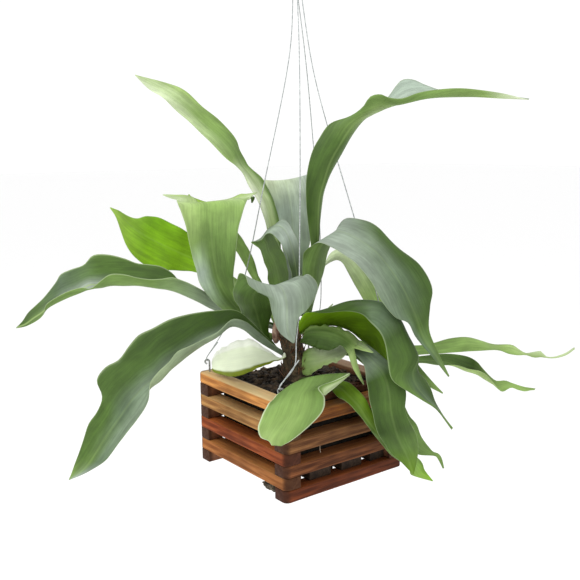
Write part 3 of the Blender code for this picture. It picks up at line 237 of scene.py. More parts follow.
# The fronds, in millimetres in the rim frame. "left_edge", "spine" and "right_edge" are matched points
# down the left margin, the midrib and the right margin, from the base to the tip. A "flap" is a strip
# that folds under along the left margin, between two of those points, out to its own edge. A lobe
# grows from half of the frond's end: a spine and half widths to its left and right. The young frond
# has half widths down its midrib instead of margins: "heading" is the compass angle it grows toward,
# "roll" turns it about its midrib and "lift" raises its two halves, all in degrees.
FRONDS = {
    "frond_lower_left": dict(
        left_edge=[(-21, 4, 34), (-49, -2, 53), (-74, -7, 73), (-94, -9, 89), (-113, -6, 94),
            (-133, -3, 80), (-153, 1, 72), (-171, 5, 67), (-186, 8, 61), (-196, 10, 49), (-210, 13, 39),
            (-221, 14, 28), (-225, 13, 17), (-227, 14, 5), (-232, 18, -11), (-237, 25, -23),
            (-247, 35, -38), (-254, 43, -52), (-261, 51, -67), (-268, 60, -80), (-279, 75, -93),
            (-289, 88, -102), (-299, 100, -109)],
        spine=[(-22, 7, 29), (-50, 4, 46), (-74, 0, 62), (-92, 0, 77), (-109, 3, 83), (-129, 6, 74),
            (-148, 13, 65), (-165, 19, 54), (-178, 22, 45), (-191, 26, 37), (-204, 28, 26),
            (-216, 33, 19), (-227, 37, 9), (-235, 42, -1), (-242, 49, -15), (-249, 56, -29),
            (-256, 62, -42), (-264, 68, -56), (-271, 73, -69), (-278, 80, -83), (-286, 89, -96),
            (-293, 95, -103), (-299, 100, -109)],
        right_edge=[(-23, 10, 34), (-48, 6, 57), (-71, 1, 78), (-89, 5, 96), (-102, 10, 103),
            (-124, 20, 103), (-143, 27, 102), (-160, 36, 99), (-178, 44, 94), (-196, 51, 85),
            (-212, 59, 77), (-224, 62, 65), (-237, 68, 47), (-253, 75, 38), (-264, 78, 22), (-260, 74, 0),
            (-266, 77, -18), (-275, 84, -34), (-281, 90, -55), (-286, 95, -74), (-291, 100, -91),
            (-295, 102, -103), (-299, 101, -109)]),
    "frond_long_left": dict(
        left_edge=[(-10, 25, 62), (-38, 42, 75), (-66, 53, 92), (-94, 64, 110), (-114, 70, 124),
            (-133, 81, 135), (-145, 88, 141), (-159, 96, 139), (-171, 102, 138), (-185, 109, 141),
            (-200, 118, 146), (-216, 127, 147), (-227, 135, 139), (-237, 145, 128), (-247, 154, 128),
            (-260, 165, 124), (-273, 175, 116), (-284, 183, 106), (-287, 187, 93), (-294, 193, 84),
            (-304, 205, 76), (-314, 216, 73)],
        spine=[(-10, 28, 59), (-38, 46, 68), (-65, 57, 81), (-92, 72, 92), (-111, 80, 104),
            (-131, 96, 116), (-143, 105, 121), (-155, 113, 124), (-166, 120, 127), (-178, 128, 129),
            (-192, 137, 129), (-206, 146, 130), (-219, 153, 129), (-230, 160, 130), (-243, 168, 122),
            (-255, 176, 116), (-268, 185, 108), (-278, 190, 101), (-286, 196, 93), (-295, 202, 86),
            (-304, 209, 78), (-314, 216, 74)],
        right_edge=[(-7, 31, 65), (-34, 49, 77), (-58, 60, 96), (-82, 75, 109), (-101, 88, 118),
            (-122, 104, 129), (-131, 113, 142), (-143, 122, 151), (-156, 131, 154), (-169, 141, 156),
            (-183, 152, 163), (-200, 165, 168), (-216, 177, 167), (-228, 182, 155), (-245, 189, 149),
            (-257, 194, 143), (-264, 196, 132), (-277, 203, 113), (-287, 208, 103), (-298, 213, 93),
            (-306, 214, 82), (-314, 216, 74)]),
    "frond_trumpet": dict(
        left_edge=[(-25, 29, 47), (-52, 43, 61), (-83, 50, 88), (-105, 53, 109), (-120, 57, 131),
            (-125, 61, 154), (-128, 66, 177), (-129, 74, 202), (-128, 86, 224), (-125, 101, 235),
            (-124, 106, 240)],
        spine=[(-24, 26, 50), (-47, 39, 69), (-73, 42, 96), (-91, 45, 120), (-98, 50, 142),
            (-101, 53, 166), (-101, 57, 189), (-97, 64, 211), (-91, 73, 228), (-87, 82, 237),
            (-98, 94, 237)],
        right_edge=[(-20, 26, 54), (-40, 36, 65), (-59, 38, 85), (-74, 37, 108), (-81, 37, 128),
            (-81, 35, 152), (-79, 33, 175), (-74, 34, 200), (-64, 39, 224), (-52, 45, 239),
            (-47, 46, 244)],
        lobes=[dict(spine=[(-103, 122, 242), (-110, 138, 244), (-118, 154, 246)],
            left=[20, 15, 9, 1], right=[18, 13, 7, 1]),
            dict(spine=[(-44, 77, 241), (-29, 75, 245), (-14, 74, 248)],
            left=[22, 13, 7, 1], right=[22, 15, 9, 1])]),
    "frond_bright": dict(
        left_edge=[(-19, 48, 74), (-44, 82, 101), (-63, 112, 123), (-81, 133, 135), (-99, 147, 138),
            (-117, 158, 139), (-136, 170, 144), (-151, 179, 157), (-161, 185, 173), (-167, 189, 194),
            (-172, 193, 215), (-178, 198, 228)],
        spine=[(-15, 49, 76), (-37, 84, 111), (-57, 117, 135), (-74, 138, 150), (-90, 153, 160),
            (-107, 165, 170), (-124, 177, 181), (-139, 183, 191), (-152, 188, 202), (-163, 191, 214),
            (-170, 194, 222), (-178, 198, 229)],
        right_edge=[(-9, 50, 78), (-30, 84, 116), (-52, 121, 145), (-67, 143, 171), (-77, 158, 189),
            (-93, 173, 202), (-110, 183, 212), (-124, 189, 214), (-138, 192, 212), (-154, 195, 217),
            (-168, 195, 225), (-177, 197, 229)]),
    "frond_behind_trumpet": dict(
        left_edge=[(-19, 32, 68), (-23, 51, 97), (-30, 69, 131), (-37, 81, 154), (-44, 92, 175),
            (-54, 105, 199), (-62, 116, 218), (-68, 131, 230)],
        spine=[(-14, 31, 70), (-17, 48, 99), (-25, 65, 136), (-31, 77, 154), (-37, 89, 175),
            (-46, 101, 198), (-50, 112, 220), (-50, 122, 232)],
        right_edge=[(-10, 30, 73), (-10, 45, 102), (-18, 60, 121), (-24, 72, 157), (-31, 82, 178),
            (-39, 93, 200), (-41, 100, 222), (-29, 100, 233)],
        lobes=[dict(spine=[(-67, 145, 234), (-72, 156, 239), (-72, 162, 244)],
            left=[8, 6, 4, 1], right=[8, 6, 4, 1]),
            dict(spine=[(-14, 104, 239), (0, 106, 239), (2, 110, 231)],
            left=[11, 7, 5, 1], right=[11, 7, 5, 1])]),
    "frond_upper_left": dict(
        left_edge=[(1, 37, 90), (4, 51, 114), (-2, 52, 140), (-4, 64, 187), (-9, 70, 223), (-13, 78, 241),
            (-18, 87, 256), (-22, 96, 272), (-28, 105, 283), (-37, 117, 297), (-49, 133, 315),
            (-61, 150, 334), (-74, 171, 356), (-89, 192, 378), (-102, 213, 393), (-112, 235, 413)],
        spine=[(7, 38, 89), (11, 52, 113), (8, 57, 140), (10, 68, 188), (6, 74, 227), (1, 83, 247),
            (-5, 92, 263), (-9, 104, 277), (-12, 113, 286), (-16, 126, 308), (-25, 141, 326),
            (-40, 157, 345), (-55, 176, 366), (-72, 194, 385), (-90, 213, 399), (-112, 235, 414)],
        right_edge=[(13, 38, 88), (19, 53, 114), (17, 60, 141), (22, 69, 190), (19, 77, 230),
            (13, 86, 252), (8, 92, 267), (-1, 104, 279), (-3, 113, 286), (-4, 127, 306), (-6, 138, 323),
            (-17, 155, 345), (-34, 173, 366), (-53, 190, 389), (-74, 208, 402), (-111, 235, 414)]),
    "frond_back_centre": dict(
        left_edge=[(7, 28, 94), (20, 52, 123), (27, 68, 157), (31, 80, 189), (29, 89, 223), (26, 98, 246),
            (24, 115, 264), (43, 141, 255)],
        spine=[(12, 28, 93), (32, 51, 125), (43, 65, 160), (51, 77, 193), (54, 85, 225), (54, 92, 248),
            (59, 106, 262), (77, 127, 251)],
        right_edge=[(13, 23, 94), (37, 39, 123), (54, 46, 158), (65, 53, 191), (71, 57, 225),
            (74, 61, 254), (81, 72, 272), (97, 99, 261)],
        lobes=[dict(spine=[(81, 152, 220), (80, 160, 185)],
            left=[14, 10, 1], right=[14, 10, 1]),
            dict(spine=[(104, 134, 226), (109, 136, 188)],
            left=[14, 10, 1], right=[14, 10, 1])]),
    "frond_curl": dict(
        left_edge=[(-7, 8, 104), (-7, 5, 132), (-11, 6, 156), (-18, 9, 175), (-24, 11, 187),
            (-32, 14, 196), (-38, 19, 195), (-45, 24, 188), (-57, 31, 186), (-45, 27, 176),
            (-39, 30, 167), (-32, 30, 151), (-27, 33, 131), (-19, 32, 114), (-6, 32, 99)],
        spine=[(0, 10, 100), (3, 8, 128), (1, 9, 155), (-3, 12, 179), (-7, 17, 196), (-14, 24, 205),
            (-22, 32, 202), (-28, 38, 195), (-28, 39, 187), (-24, 39, 181), (-21, 39, 171),
            (-12, 37, 152), (-5, 37, 128), (-4, 34, 110), (-4, 32, 99)],
        right_edge=[(7, 12, 102), (14, 12, 132), (14, 14, 159), (12, 18, 184), (8, 24, 200), (0, 33, 211),
            (-7, 43, 205), (-11, 49, 201), (-8, 49, 194), (-3, 49, 185), (3, 47, 177), (10, 43, 157),
            (15, 41, 134), (9, 38, 116), (-2, 32, 98)]),
    "frond_tall_right": dict(
        left_edge=[(8, 1, 82), (11, -26, 127), (9, -32, 169), (8, -34, 205), (11, -37, 241),
            (15, -42, 264), (23, -51, 290), (32, -60, 313), (42, -70, 333), (51, -75, 344),
            (61, -77, 349), (73, -79, 357), (87, -80, 374), (105, -83, 395), (116, -94, 396),
            (121, -114, 386), (128, -142, 378), (148, -170, 377), (172, -195, 372), (192, -221, 367)],
        spine=[(3, -2, 83), (3, -30, 129), (1, -39, 170), (-2, -44, 206), (-3, -48, 243), (-1, -55, 267),
            (3, -63, 291), (9, -73, 311), (17, -84, 332), (27, -92, 344), (38, -102, 352),
            (47, -108, 356), (59, -115, 359), (70, -122, 363), (82, -131, 367), (97, -143, 369),
            (117, -158, 370), (141, -177, 370), (168, -198, 368), (191, -221, 366)],
        right_edge=[(2, 1, 83), (-1, -24, 128), (-5, -34, 177), (-12, -36, 210), (-16, -38, 243),
            (-16, -38, 271), (-12, -43, 301), (-6, -51, 321), (4, -61, 338), (17, -81, 346),
            (24, -99, 358), (27, -109, 370), (35, -119, 373), (44, -126, 369), (57, -135, 368),
            (75, -146, 375), (98, -159, 379), (127, -178, 379), (159, -198, 375), (191, -220, 366)]),
    "frond_right_big": dict(
        left_edge=[(8, -17, 85), (11, -21, 106), (14, -29, 130), (17, -36, 156), (20, -43, 179),
            (26, -48, 203), (35, -57, 218), (45, -77, 216), (57, -99, 205), (69, -124, 180),
            (82, -146, 161), (87, -163, 133), (79, -169, 111), (70, -175, 83), (78, -184, 55),
            (89, -194, 24)],
        spine=[(3, -17, 80), (-1, -24, 108), (-4, -35, 134), (-9, -44, 159), (-7, -55, 184),
            (5, -67, 202), (11, -82, 202), (21, -100, 193), (32, -118, 179), (40, -137, 157),
            (46, -152, 136), (51, -162, 114), (56, -168, 96), (62, -174, 74), (74, -183, 51),
            (88, -194, 24)],
        right_edge=[(2, -12, 79), (-3, -15, 107), (-9, -21, 133), (-15, -28, 156), (-22, -41, 177),
            (-15, -59, 189), (-9, -79, 185), (-3, -99, 176), (3, -116, 165), (11, -132, 144),
            (17, -145, 122), (29, -156, 102), (43, -165, 94), (53, -169, 75), (70, -181, 50),
            (88, -193, 23)]),
    "frond_right_back": dict(
        left_edge=[(19, 10, 83), (33, 10, 110), (46, 7, 134), (59, 5, 160), (75, 0, 168), (95, -7, 160),
            (111, -15, 139), (125, -21, 115), (136, -26, 88), (147, -35, 59), (159, -47, 25),
            (173, -60, -3), (187, -73, -26), (201, -85, -46)],
        spine=[(17, 10, 81), (29, 8, 108), (39, 5, 131), (49, 0, 152), (64, -4, 161), (81, -7, 154),
            (97, -11, 136), (110, -16, 112), (123, -21, 86), (136, -31, 55), (150, -44, 21),
            (166, -57, -7), (183, -72, -30), (200, -85, -47)],
        right_edge=[(14, 10, 78), (25, 8, 106), (34, 6, 127), (44, 1, 145), (58, -4, 153), (71, -7, 152),
            (83, -8, 134), (96, -13, 110), (109, -18, 88), (125, -28, 53), (141, -41, 18),
            (159, -54, -11), (178, -69, -32), (200, -84, -47)]),
    "frond_front_drape": dict(
        left_edge=[(-26, 15, 39), (-40, 15, 60), (-43, 8, 80), (-43, -4, 102), (-47, -27, 122),
            (-53, -50, 144), (-49, -62, 151), (-47, -70, 150), (-44, -77, 153), (-40, -86, 147),
            (-42, -93, 138), (-52, -96, 125), (-64, -96, 113), (-75, -95, 106), (-80, -97, 90),
            (-82, -96, 76)],
        spine=[(-31, 15, 37), (-47, 16, 58), (-59, 10, 79), (-69, 3, 98), (-83, -10, 116),
            (-92, -30, 132), (-89, -43, 138), (-85, -51, 140), (-83, -60, 142), (-82, -69, 141),
            (-83, -76, 136), (-85, -83, 128), (-86, -86, 118), (-89, -90, 105), (-89, -92, 90),
            (-83, -95, 75)],
        right_edge=[(-34, 19, 40), (-49, 23, 61), (-67, 23, 82), (-80, 22, 95), (-95, 15, 116),
            (-103, 4, 132), (-104, -6, 148), (-104, -13, 154), (-105, -20, 155), (-106, -29, 151),
            (-107, -36, 142), (-105, -50, 136), (-99, -65, 130), (-100, -74, 111), (-96, -84, 89),
            (-85, -94, 76)]),
    "frond_right_fork": dict(
        left_edge=[(-1, -4, 58), (8, -19, 67), (24, -38, 71), (38, -57, 68), (47, -71, 57), (53, -86, 45),
            (53, -99, 31), (57, -115, 26), (61, -138, 26), (69, -164, 23), (69, -177, 11), (73, -187, -9),
            (80, -198, -30), (86, -205, -41)],
        spine=[(-7, -10, 66), (-6, -28, 85), (4, -56, 99), (15, -80, 110), (27, -102, 114),
            (40, -125, 112), (49, -141, 98), (55, -153, 76), (61, -166, 49), (50, -168, 30),
            (48, -176, 16), (59, -186, -3), (71, -196, -19), (85, -204, -42)],
        right_edge=[(-10, -12, 76), (-12, -31, 93), (-4, -63, 97), (7, -89, 102), (13, -111, 101),
            (15, -128, 92), (19, -141, 80), (20, -150, 63), (20, -154, 40), (23, -159, 23),
            (33, -169, 12), (49, -182, -1), (66, -193, -15), (84, -204, -43)]),
    "frond_short_right": dict(
        left_edge=[(-2, -11, 53), (0, -20, 70), (10, -38, 74), (20, -59, 74), (26, -76, 69),
            (30, -91, 60)],
        spine=[(-6, -13, 50), (-8, -26, 63), (-4, -50, 69), (3, -73, 68), (6, -91, 63), (8, -104, 56)],
        right_edge=[(-9, -14, 48), (-12, -26, 51), (-10, -48, 48), (-5, -70, 48), (-2, -90, 58),
            (-1, -103, 49)],
        lobes=[dict(spine=[(17, -119, 55), (19, -128, 53)],
            left=[8, 6, 1], right=[7, 5, 1]),
            dict(spine=[(3, -113, 33), (10, -121, 11)],
            left=[6, 5, 1], right=[5, 5, 1])]),
    "frond_front_left": dict(
        left_edge=[(-8, -12, -1), (-12, -56, 12), (-10, -88, 17), (-4, -110, 26), (-25, -107, 20),
            (-50, -103, 15), (-53, -118, 6), (-63, -126, -8), (-84, -125, -23), (-105, -119, -37),
            (-118, -114, -43)],
        spine=[(-11, -14, -2), (-30, -53, 11), (-51, -85, 21), (-63, -98, 28), (-74, -104, 21),
            (-88, -109, 12), (-96, -113, 2), (-104, -114, -10), (-114, -114, -21), (-122, -113, -32),
            (-123, -111, -42)],
        right_edge=[(-14, -15, -4), (-44, -49, 7), (-86, -87, 18), (-105, -94, 16), (-117, -91, 6),
            (-124, -90, -2), (-130, -90, -12), (-135, -91, -23), (-136, -96, -33), (-130, -105, -36),
            (-127, -107, -42)],
        flap=dict(along=(3, 5.7), edge=[(-4, -110, 24), (-22, -107, 13), (-44, -108, 4)])),
    "frond_drip_front": dict(
        left_edge=[(8, -40, 3), (7, -58, 8), (8, -77, 7), (8, -95, 8), (8, -112, 2), (9, -126, -7),
            (15, -133, -24), (30, -136, -45), (47, -140, -64), (63, -143, -79), (81, -148, -96),
            (90, -150, -106), (95, -150, -117), (108, -154, -135)],
        spine=[(4, -41, 0), (0, -60, 3), (-1, -77, 1), (-3, -95, 0), (-4, -112, -7), (-1, -124, -16),
            (7, -129, -32), (22, -132, -51), (40, -134, -70), (57, -137, -87), (74, -141, -103),
            (84, -144, -114), (91, -146, -125), (107, -153, -135)],
        right_edge=[(-1, -41, 1), (-7, -60, 1), (-10, -78, 0), (-14, -95, -5), (-16, -112, -8),
            (-9, -124, -16), (-1, -128, -28), (11, -130, -45), (29, -131, -67), (47, -132, -88),
            (63, -135, -102), (76, -139, -113), (81, -140, -124), (107, -153, -135)]),
    "frond_drip_right": dict(
        left_edge=[(8, -4, 55), (13, -28, 55), (20, -51, 59), (25, -75, 60), (31, -100, 57),
            (37, -124, 46), (42, -148, 31), (45, -161, 6), (45, -161, -22), (55, -163, -42),
            (65, -163, -59), (69, -162, -78), (70, -159, -93), (68, -156, -114)],
        spine=[(4, -6, 51), (7, -31, 53), (14, -54, 56), (17, -76, 56), (21, -99, 50), (23, -121, 40),
            (26, -140, 26), (27, -149, 3), (29, -151, -22), (37, -151, -45), (46, -151, -65),
            (54, -153, -81), (60, -155, -96), (67, -155, -114)],
        right_edge=[(0, -7, 52), (2, -32, 55), (8, -55, 57), (10, -77, 56), (12, -100, 48),
            (10, -121, 35), (3, -134, 18), (2, -139, -1), (7, -143, -27), (15, -141, -48),
            (24, -142, -62), (37, -144, -81), (49, -149, -93), (67, -155, -114)]),
    "frond_drip_back": dict(
        left_edge=[(10, -5, 35), (22, -23, 38), (38, -38, 42), (50, -60, 40), (61, -82, 36),
            (69, -100, 24), (75, -112, 7), (77, -120, -14), (83, -129, -41), (91, -137, -56),
            (98, -143, -76), (106, -151, -92), (113, -157, -96), (117, -160, -103), (120, -162, -117)],
        spine=[(6, -8, 33), (18, -26, 35), (33, -42, 39), (43, -62, 36), (50, -84, 30), (57, -99, 17),
            (61, -110, -1), (65, -118, -20), (71, -126, -44), (80, -135, -64), (89, -142, -83),
            (101, -150, -94), (111, -156, -97), (115, -159, -104), (119, -162, -117)],
        right_edge=[(3, -10, 34), (14, -27, 34), (27, -45, 38), (35, -65, 34), (40, -86, 27),
            (46, -104, 13), (53, -112, -6), (57, -117, -24), (62, -124, -46), (71, -132, -69),
            (80, -139, -89), (90, -145, -96), (108, -155, -99), (112, -158, -104), (117, -162, -117)]),
    "frond_far_right": dict(
        left_edge=[(10, 15, 61), (40, 2, 53), (70, -12, 45), (97, -31, 37), (125, -49, 32),
            (151, -69, 30), (178, -86, 33), (199, -97, 38), (218, -110, 39), (237, -124, 35),
            (250, -139, 29), (265, -154, 29), (272, -162, 23), (279, -169, 18), (290, -175, 19),
            (298, -181, 20), (302, -187, 13), (310, -196, 13), (320, -205, 18), (329, -214, 27)],
        spine=[(8, 12, 56), (38, -2, 48), (67, -15, 39), (95, -34, 31), (120, -54, 25), (146, -74, 23),
            (172, -93, 26), (193, -107, 29), (211, -120, 32), (230, -133, 30), (247, -145, 26),
            (261, -155, 24), (269, -164, 20), (277, -171, 17), (286, -178, 16), (295, -184, 16),
            (300, -188, 12), (308, -197, 12), (320, -207, 17), (328, -215, 26)],
        right_edge=[(7, 8, 55), (37, -6, 46), (65, -20, 37), (90, -38, 28), (116, -59, 22),
            (142, -80, 20), (167, -100, 21), (188, -113, 22), (208, -127, 24), (226, -140, 24),
            (244, -151, 23), (256, -158, 18), (266, -166, 16), (276, -172, 16), (283, -180, 13),
            (291, -186, 13), (298, -189, 11), (307, -198, 11), (318, -208, 16), (328, -216, 25)]),
    "frond_low_right": dict(
        left_edge=[(10, 4, 47), (33, -13, 40), (55, -30, 34), (75, -46, 29), (95, -63, 24),
            (118, -78, 20), (141, -94, 21), (165, -109, 23), (181, -123, 23), (194, -135, 20),
            (202, -145, 13), (206, -154, 3), (212, -162, -7), (217, -168, -12), (225, -176, -11),
            (231, -183, -14), (237, -189, -17), (245, -195, -20), (250, -199, -21), (256, -204, -22)],
        spine=[(8, 1, 44), (30, -16, 36), (52, -31, 29), (72, -48, 23), (93, -66, 18), (115, -83, 16),
            (137, -100, 16), (158, -116, 15), (171, -128, 11), (183, -138, 4), (195, -150, -2),
            (203, -160, -10), (210, -168, -16), (214, -173, -20), (221, -178, -18), (229, -184, -17),
            (237, -190, -20), (244, -196, -23), (249, -200, -23), (255, -204, -23)],
        right_edge=[(5, -3, 44), (27, -20, 35), (48, -35, 27), (70, -52, 22), (89, -71, 16),
            (109, -89, 15), (130, -107, 15), (150, -123, 14), (165, -137, 12), (178, -149, 8),
            (188, -159, 6), (196, -166, 1), (203, -171, -8), (212, -175, -22), (218, -179, -25),
            (227, -185, -20), (235, -191, -23), (242, -197, -25), (248, -201, -24), (254, -204, -24)]),
    "shield_left": dict(
        left_edge=[(-26, -5, 29), (-32, -3, 27), (-48, -2, 25), (-64, -1, 22), (-78, 4, 17),
            (-87, 14, 11), (-94, 29, 7), (-97, 47, 6), (-98, 63, 6), (-98, 70, 8)],
        spine=[(-27, -5, 33), (-32, 0, 27), (-48, 9, 30), (-61, 17, 31), (-75, 27, 28), (-83, 41, 24),
            (-89, 56, 20), (-91, 65, 18), (-91, 75, 14), (-91, 80, 11)],
        right_edge=[(-28, -3, 36), (-31, 4, 28), (-42, 27, 41), (-45, 50, 47), (-52, 70, 43),
            (-60, 84, 36), (-69, 93, 28), (-73, 96, 26), (-79, 96, 18), (-83, 94, 11)]),
    "shield_right": dict(
        left_edge=[(-1, -12, 34), (6, -20, 41), (12, -31, 39), (19, -44, 42), (26, -56, 47),
            (28, -64, 47)],
        spine=[(-8, -14, 21), (-3, -28, 26), (3, -42, 29), (9, -57, 36), (16, -70, 42), (20, -76, 46)],
        right_edge=[(-14, -17, 7), (-9, -33, 7), (-6, -51, 20), (0, -66, 29), (5, -77, 33),
            (16, -82, 43)]),
    "frond_young": dict(
        heading=330,
        spine=[(4, 8, 60), (33, -5, 78), (49, -15, 95)],
        left=[3, 5, 4, 1],
        right=[3, 5, 4, 1],
        roll=[0, 10, 20],
        lift=([20, 10, 0], [20, 10, 0])),
}

# Leaf colours, from dark to pale
INK = (0.026, 0.060, 0.003)
DEEP = (0.044, 0.088, 0.014)
MOSS = (0.060, 0.114, 0.021)
FOREST = (0.068, 0.130, 0.022)
LEAF = (0.100, 0.172, 0.038)
GREEN = (0.120, 0.205, 0.046)
FRESH = (0.155, 0.260, 0.062)
SPRING = (0.21, 0.33, 0.085)
DUSK = (0.095, 0.145, 0.078)
SAGE = (0.165, 0.22, 0.145)
SILVER = (0.225, 0.275, 0.215)
FROST = (0.28, 0.335, 0.27)
ASH = (0.33, 0.41, 0.33)
MIST = (0.42, 0.50, 0.42)
LIME = (0.10, 0.19, 0.004)
VIVID = (0.18, 0.36, 0.004)
ACID = (0.18, 0.40, 0.006)
CITRUS = (0.24, 0.38, 0.06)
SPROUT = (0.30, 0.42, 0.14)
PALE = (0.40, 0.50, 0.26)
CREAM = (0.53, 0.62, 0.39)
IVORY = (0.68, 0.74, 0.55)
WHITE = (0.84, 0.87, 0.76)
OLIVE = (0.15, 0.19, 0.008)

# Leaf looks: each face as stops from base to tip. A stop has its place and one colour, or those of the
# left and right margin, or those of the left margin, the middle and the right margin. A lobe lies
# beyond 1. Besides the fronds' own greens the stops hold painted light and shade: darker stops where a
# frond lies in shade, on undersides, in folds and inside the clump, paler stops where light falls on
# it or shines through it, and grey stops that are the fronds' downy grey with a painted sheen. "inner"
# is how far from the midrib a margin's colour starts and is full, "rim" how strong the pale margin is,
# its own paler colour with a painted rim highlight, "rim_from" where it starts, "keel" how pale the
# midrib is, and "streaks" how strong veins and mottling are.
LOOKS = {
    "frond_lower_left": dict(
        # Its darkest stops, near black on the right margin, hold painted shade of a frond lit from behind
        upper=[(0.1, SAGE, DUSK, MOSS), (0.3, SAGE, SAGE, INK), (0.5, SAGE, SAGE, DEEP),
            (0.7, SAGE, DUSK, MOSS), (0.9, DUSK, LEAF, FOREST), (1.0, FROST, SPRING)],
        lower=[(0.2, SAGE), (1.0, PALE)],
        rim=0.4, inner=(0.0, 0.6)),
    "frond_long_left": dict(
        upper=[(0.3, SAGE, SAGE, DEEP), (0.5, SAGE, SAGE, MOSS), (0.66, FROST, FROST, FOREST),
            (0.8, FROST, FROST, DUSK), (0.9, GREEN, LEAF, MOSS), (1.0, INK)],
        lower=[(0.2, SILVER), (0.5, FRESH), (1.0, FRESH)],
        keel=0.6, rim=0.6, inner=(0.0, 0.6)),
    "frond_trumpet": dict(
        upper=[(0.3, FRESH, FOREST, SPRING), (0.55, ASH, LEAF, FOREST), (0.72, SPRING, LEAF, GREEN),
            (0.9, SPROUT, SPRING, SPRING), (1.05, PALE, SPROUT, PALE)],
        lower=[(0.4, GREEN), (1.0, SPROUT)]),
    "frond_bright": dict(
        upper=[(0.2, PALE, FRESH), (0.35, SPROUT, FRESH), (0.5, VIVID), (0.75, VIVID, ACID),
            (1.0, CITRUS)],
        lower=[(0.2, CITRUS), (0.6, VIVID)]),
    "frond_behind_trumpet": dict(
        upper=[(0.3, SPRING), (0.8, SPRING), (1.1, CITRUS)],
        lower=[(0.5, LEAF)]),
    "frond_upper_left": dict(
        upper=[(0.2, SPRING, SPROUT, MOSS), (0.4, IVORY, PALE, GREEN), (0.55, SPRING, GREEN, LEAF),
            (0.75, PALE, SPRING, SPRING), (0.88, CREAM, PALE, SPROUT), (1.0, CREAM, PALE, PALE)],
        lower=[(0.5, SPROUT), (1.0, CREAM)],
        rim=0.6),
    "frond_back_centre": dict(
        upper=[(0.4, SILVER, SAGE), (0.65, ASH, SILVER), (0.85, CREAM, FROST)],
        lower=[(0.5, SAGE)]),
    "frond_curl": dict(
        upper=[(0.1, INK), (0.2, DEEP), (0.3, SAGE), (0.4, MIST), (0.55, SAGE, DUSK), (1.0, MOSS)],
        lower=[(0.3, FRESH), (0.7, FRESH, GREEN), (1.0, GREEN, LEAF)],
        keel=0.2),
    "frond_tall_right": dict(
        upper=[(0.5, SAGE), (0.7, ASH, FROST), (1.0, FROST)],
        # The dark lower stops, from 0.3 to 0.5, hold painted shade on the underside
        lower=[(0.05, MOSS), (0.15, GREEN, LEAF), (0.3, LEAF, INK), (0.5, FOREST, MOSS),
            (0.62, SPROUT, GREEN), (0.75, FRESH), (0.9, SPROUT, SPRING), (1.0, IVORY)],
        keel=0.2),
    "frond_right_big": dict(
        upper=[(0.25, SILVER), (0.4, SILVER, SILVER, FROST), (0.52, MOSS, SAGE, SILVER),
            (0.65, DEEP, DUSK, SAGE), (0.8, DEEP, MOSS, DUSK), (0.9, LEAF, DUSK), (1.0, GREEN)],
        lower=[(0.5, LEAF)]),
    "frond_right_back": dict(
        upper=[(0.2, CREAM), (0.35, PALE), (0.5, SPRING, SPROUT), (0.62, GREEN), (0.75, DEEP),
            (0.9, GREEN), (1.0, SPRING)],
        lower=[(0.5, GREEN)]),
    "frond_front_drape": dict(
        upper=[(0.35, SILVER), (0.5, SAGE, FROST, FROST), (0.62, SILVER, FROST, SILVER),
            (0.78, SAGE, SILVER, SAGE), (1.0, SILVER)],
        lower=[(0.0, DEEP), (0.15, INK), (0.35, MOSS), (1.0, FOREST)]),
    "frond_right_fork": dict(
        # The slightly paler stop at 0.45 is a painted highlight on the crest, between dark stops of
        # painted shade
        upper=[(0.3, INK, DEEP), (0.45, MOSS, DUSK, DUSK), (0.55, INK, DEEP), (0.7, INK, DEEP, FOREST),
            (0.85, DEEP, DUSK, LEAF), (1.0, GREEN)],
        lower=[(0.2, LIME, VIVID), (0.5, LIME, ACID), (0.8, ACID)]),
    "frond_short_right": dict(
        upper=[(0.2, SPROUT, FOREST, DEEP), (0.9, SPROUT, LEAF, MOSS), (1.05, PALE, SPROUT, SPROUT)],
        lower=[(0.5, GREEN)]),
    "frond_front_left": dict(
        upper=[(0.15, DEEP, MOSS), (0.35, FOREST, LEAF, LEAF), (0.55, LEAF, FRESH, GREEN),
            (0.75, FRESH, SPRING, SPRING), (1.0, SPRING, SPROUT), (1.4, PALE)],
        lower=[(0.5, FRESH), (1.0, SPROUT), (1.4, PALE)],
        rim=1.0, rim_from=0.93, rim_colour=CREAM, streaks=0.7),
    "frond_drip_front": dict(
        upper=[(0.2, LIME), (0.5, LIME, LEAF), (0.8, FRESH), (1.0, VIVID, CITRUS)],
        lower=[(0.5, GREEN)]),
    "frond_drip_right": dict(
        # The grey stops up to 0.42 are a painted sheen on the top of the bend, and the dark stops after
        # them painted shade in the fold
        upper=[(0.3, DUSK, SAGE), (0.42, SAGE), (0.5, INK, MOSS, INK), (0.62, DEEP, FOREST, DEEP),
            (0.75, MOSS, INK), (0.85, LEAF, FOREST), (1.0, LIME)],
        lower=[(0.5, MOSS)]),
    "frond_drip_back": dict(
        upper=[(0.3, FOREST), (0.7, GREEN, LEAF), (1.0, FRESH)],
        lower=[(0.5, MOSS)]),
    "frond_far_right": dict(
        upper=[(0.45, FRESH), (0.65, SPRING), (0.75, SPROUT, SPRING), (0.85, PALE, SPROUT),
            (1.0, CREAM, PALE)],
        lower=[(0.5, FRESH), (1.0, SPROUT)]),
    "frond_low_right": dict(
        upper=[(0.4, FOREST), (0.6, FOREST), (0.72, INK), (0.85, SPRING), (1.0, SPRING)],
        lower=[(0.5, SPROUT)]),
    "shield_left": dict(
        # The near-white middle and right are a painted highlight, the shield fading into the white
        # surround. The olive left margin is its own green band.
        upper=[(0.0, OLIVE, IVORY, WHITE), (1.0, OLIVE, IVORY, WHITE)],
        lower=[(0.5, OLIVE, IVORY, IVORY)],
        inner=(0.55, 0.75), rim=0.0, keel=0.0, streaks=0.25),
    "shield_right": dict(
        upper=[(0.1, SPRING), (0.5, CREAM, SPROUT), (1.0, CREAM, PALE)],
        lower=[(0.5, SPROUT)],
        rim=0.6, streaks=0.6),
    "frond_young": dict(
        upper=[(0.5, PALE)],
        lower=[(0.5, PALE)]),
}


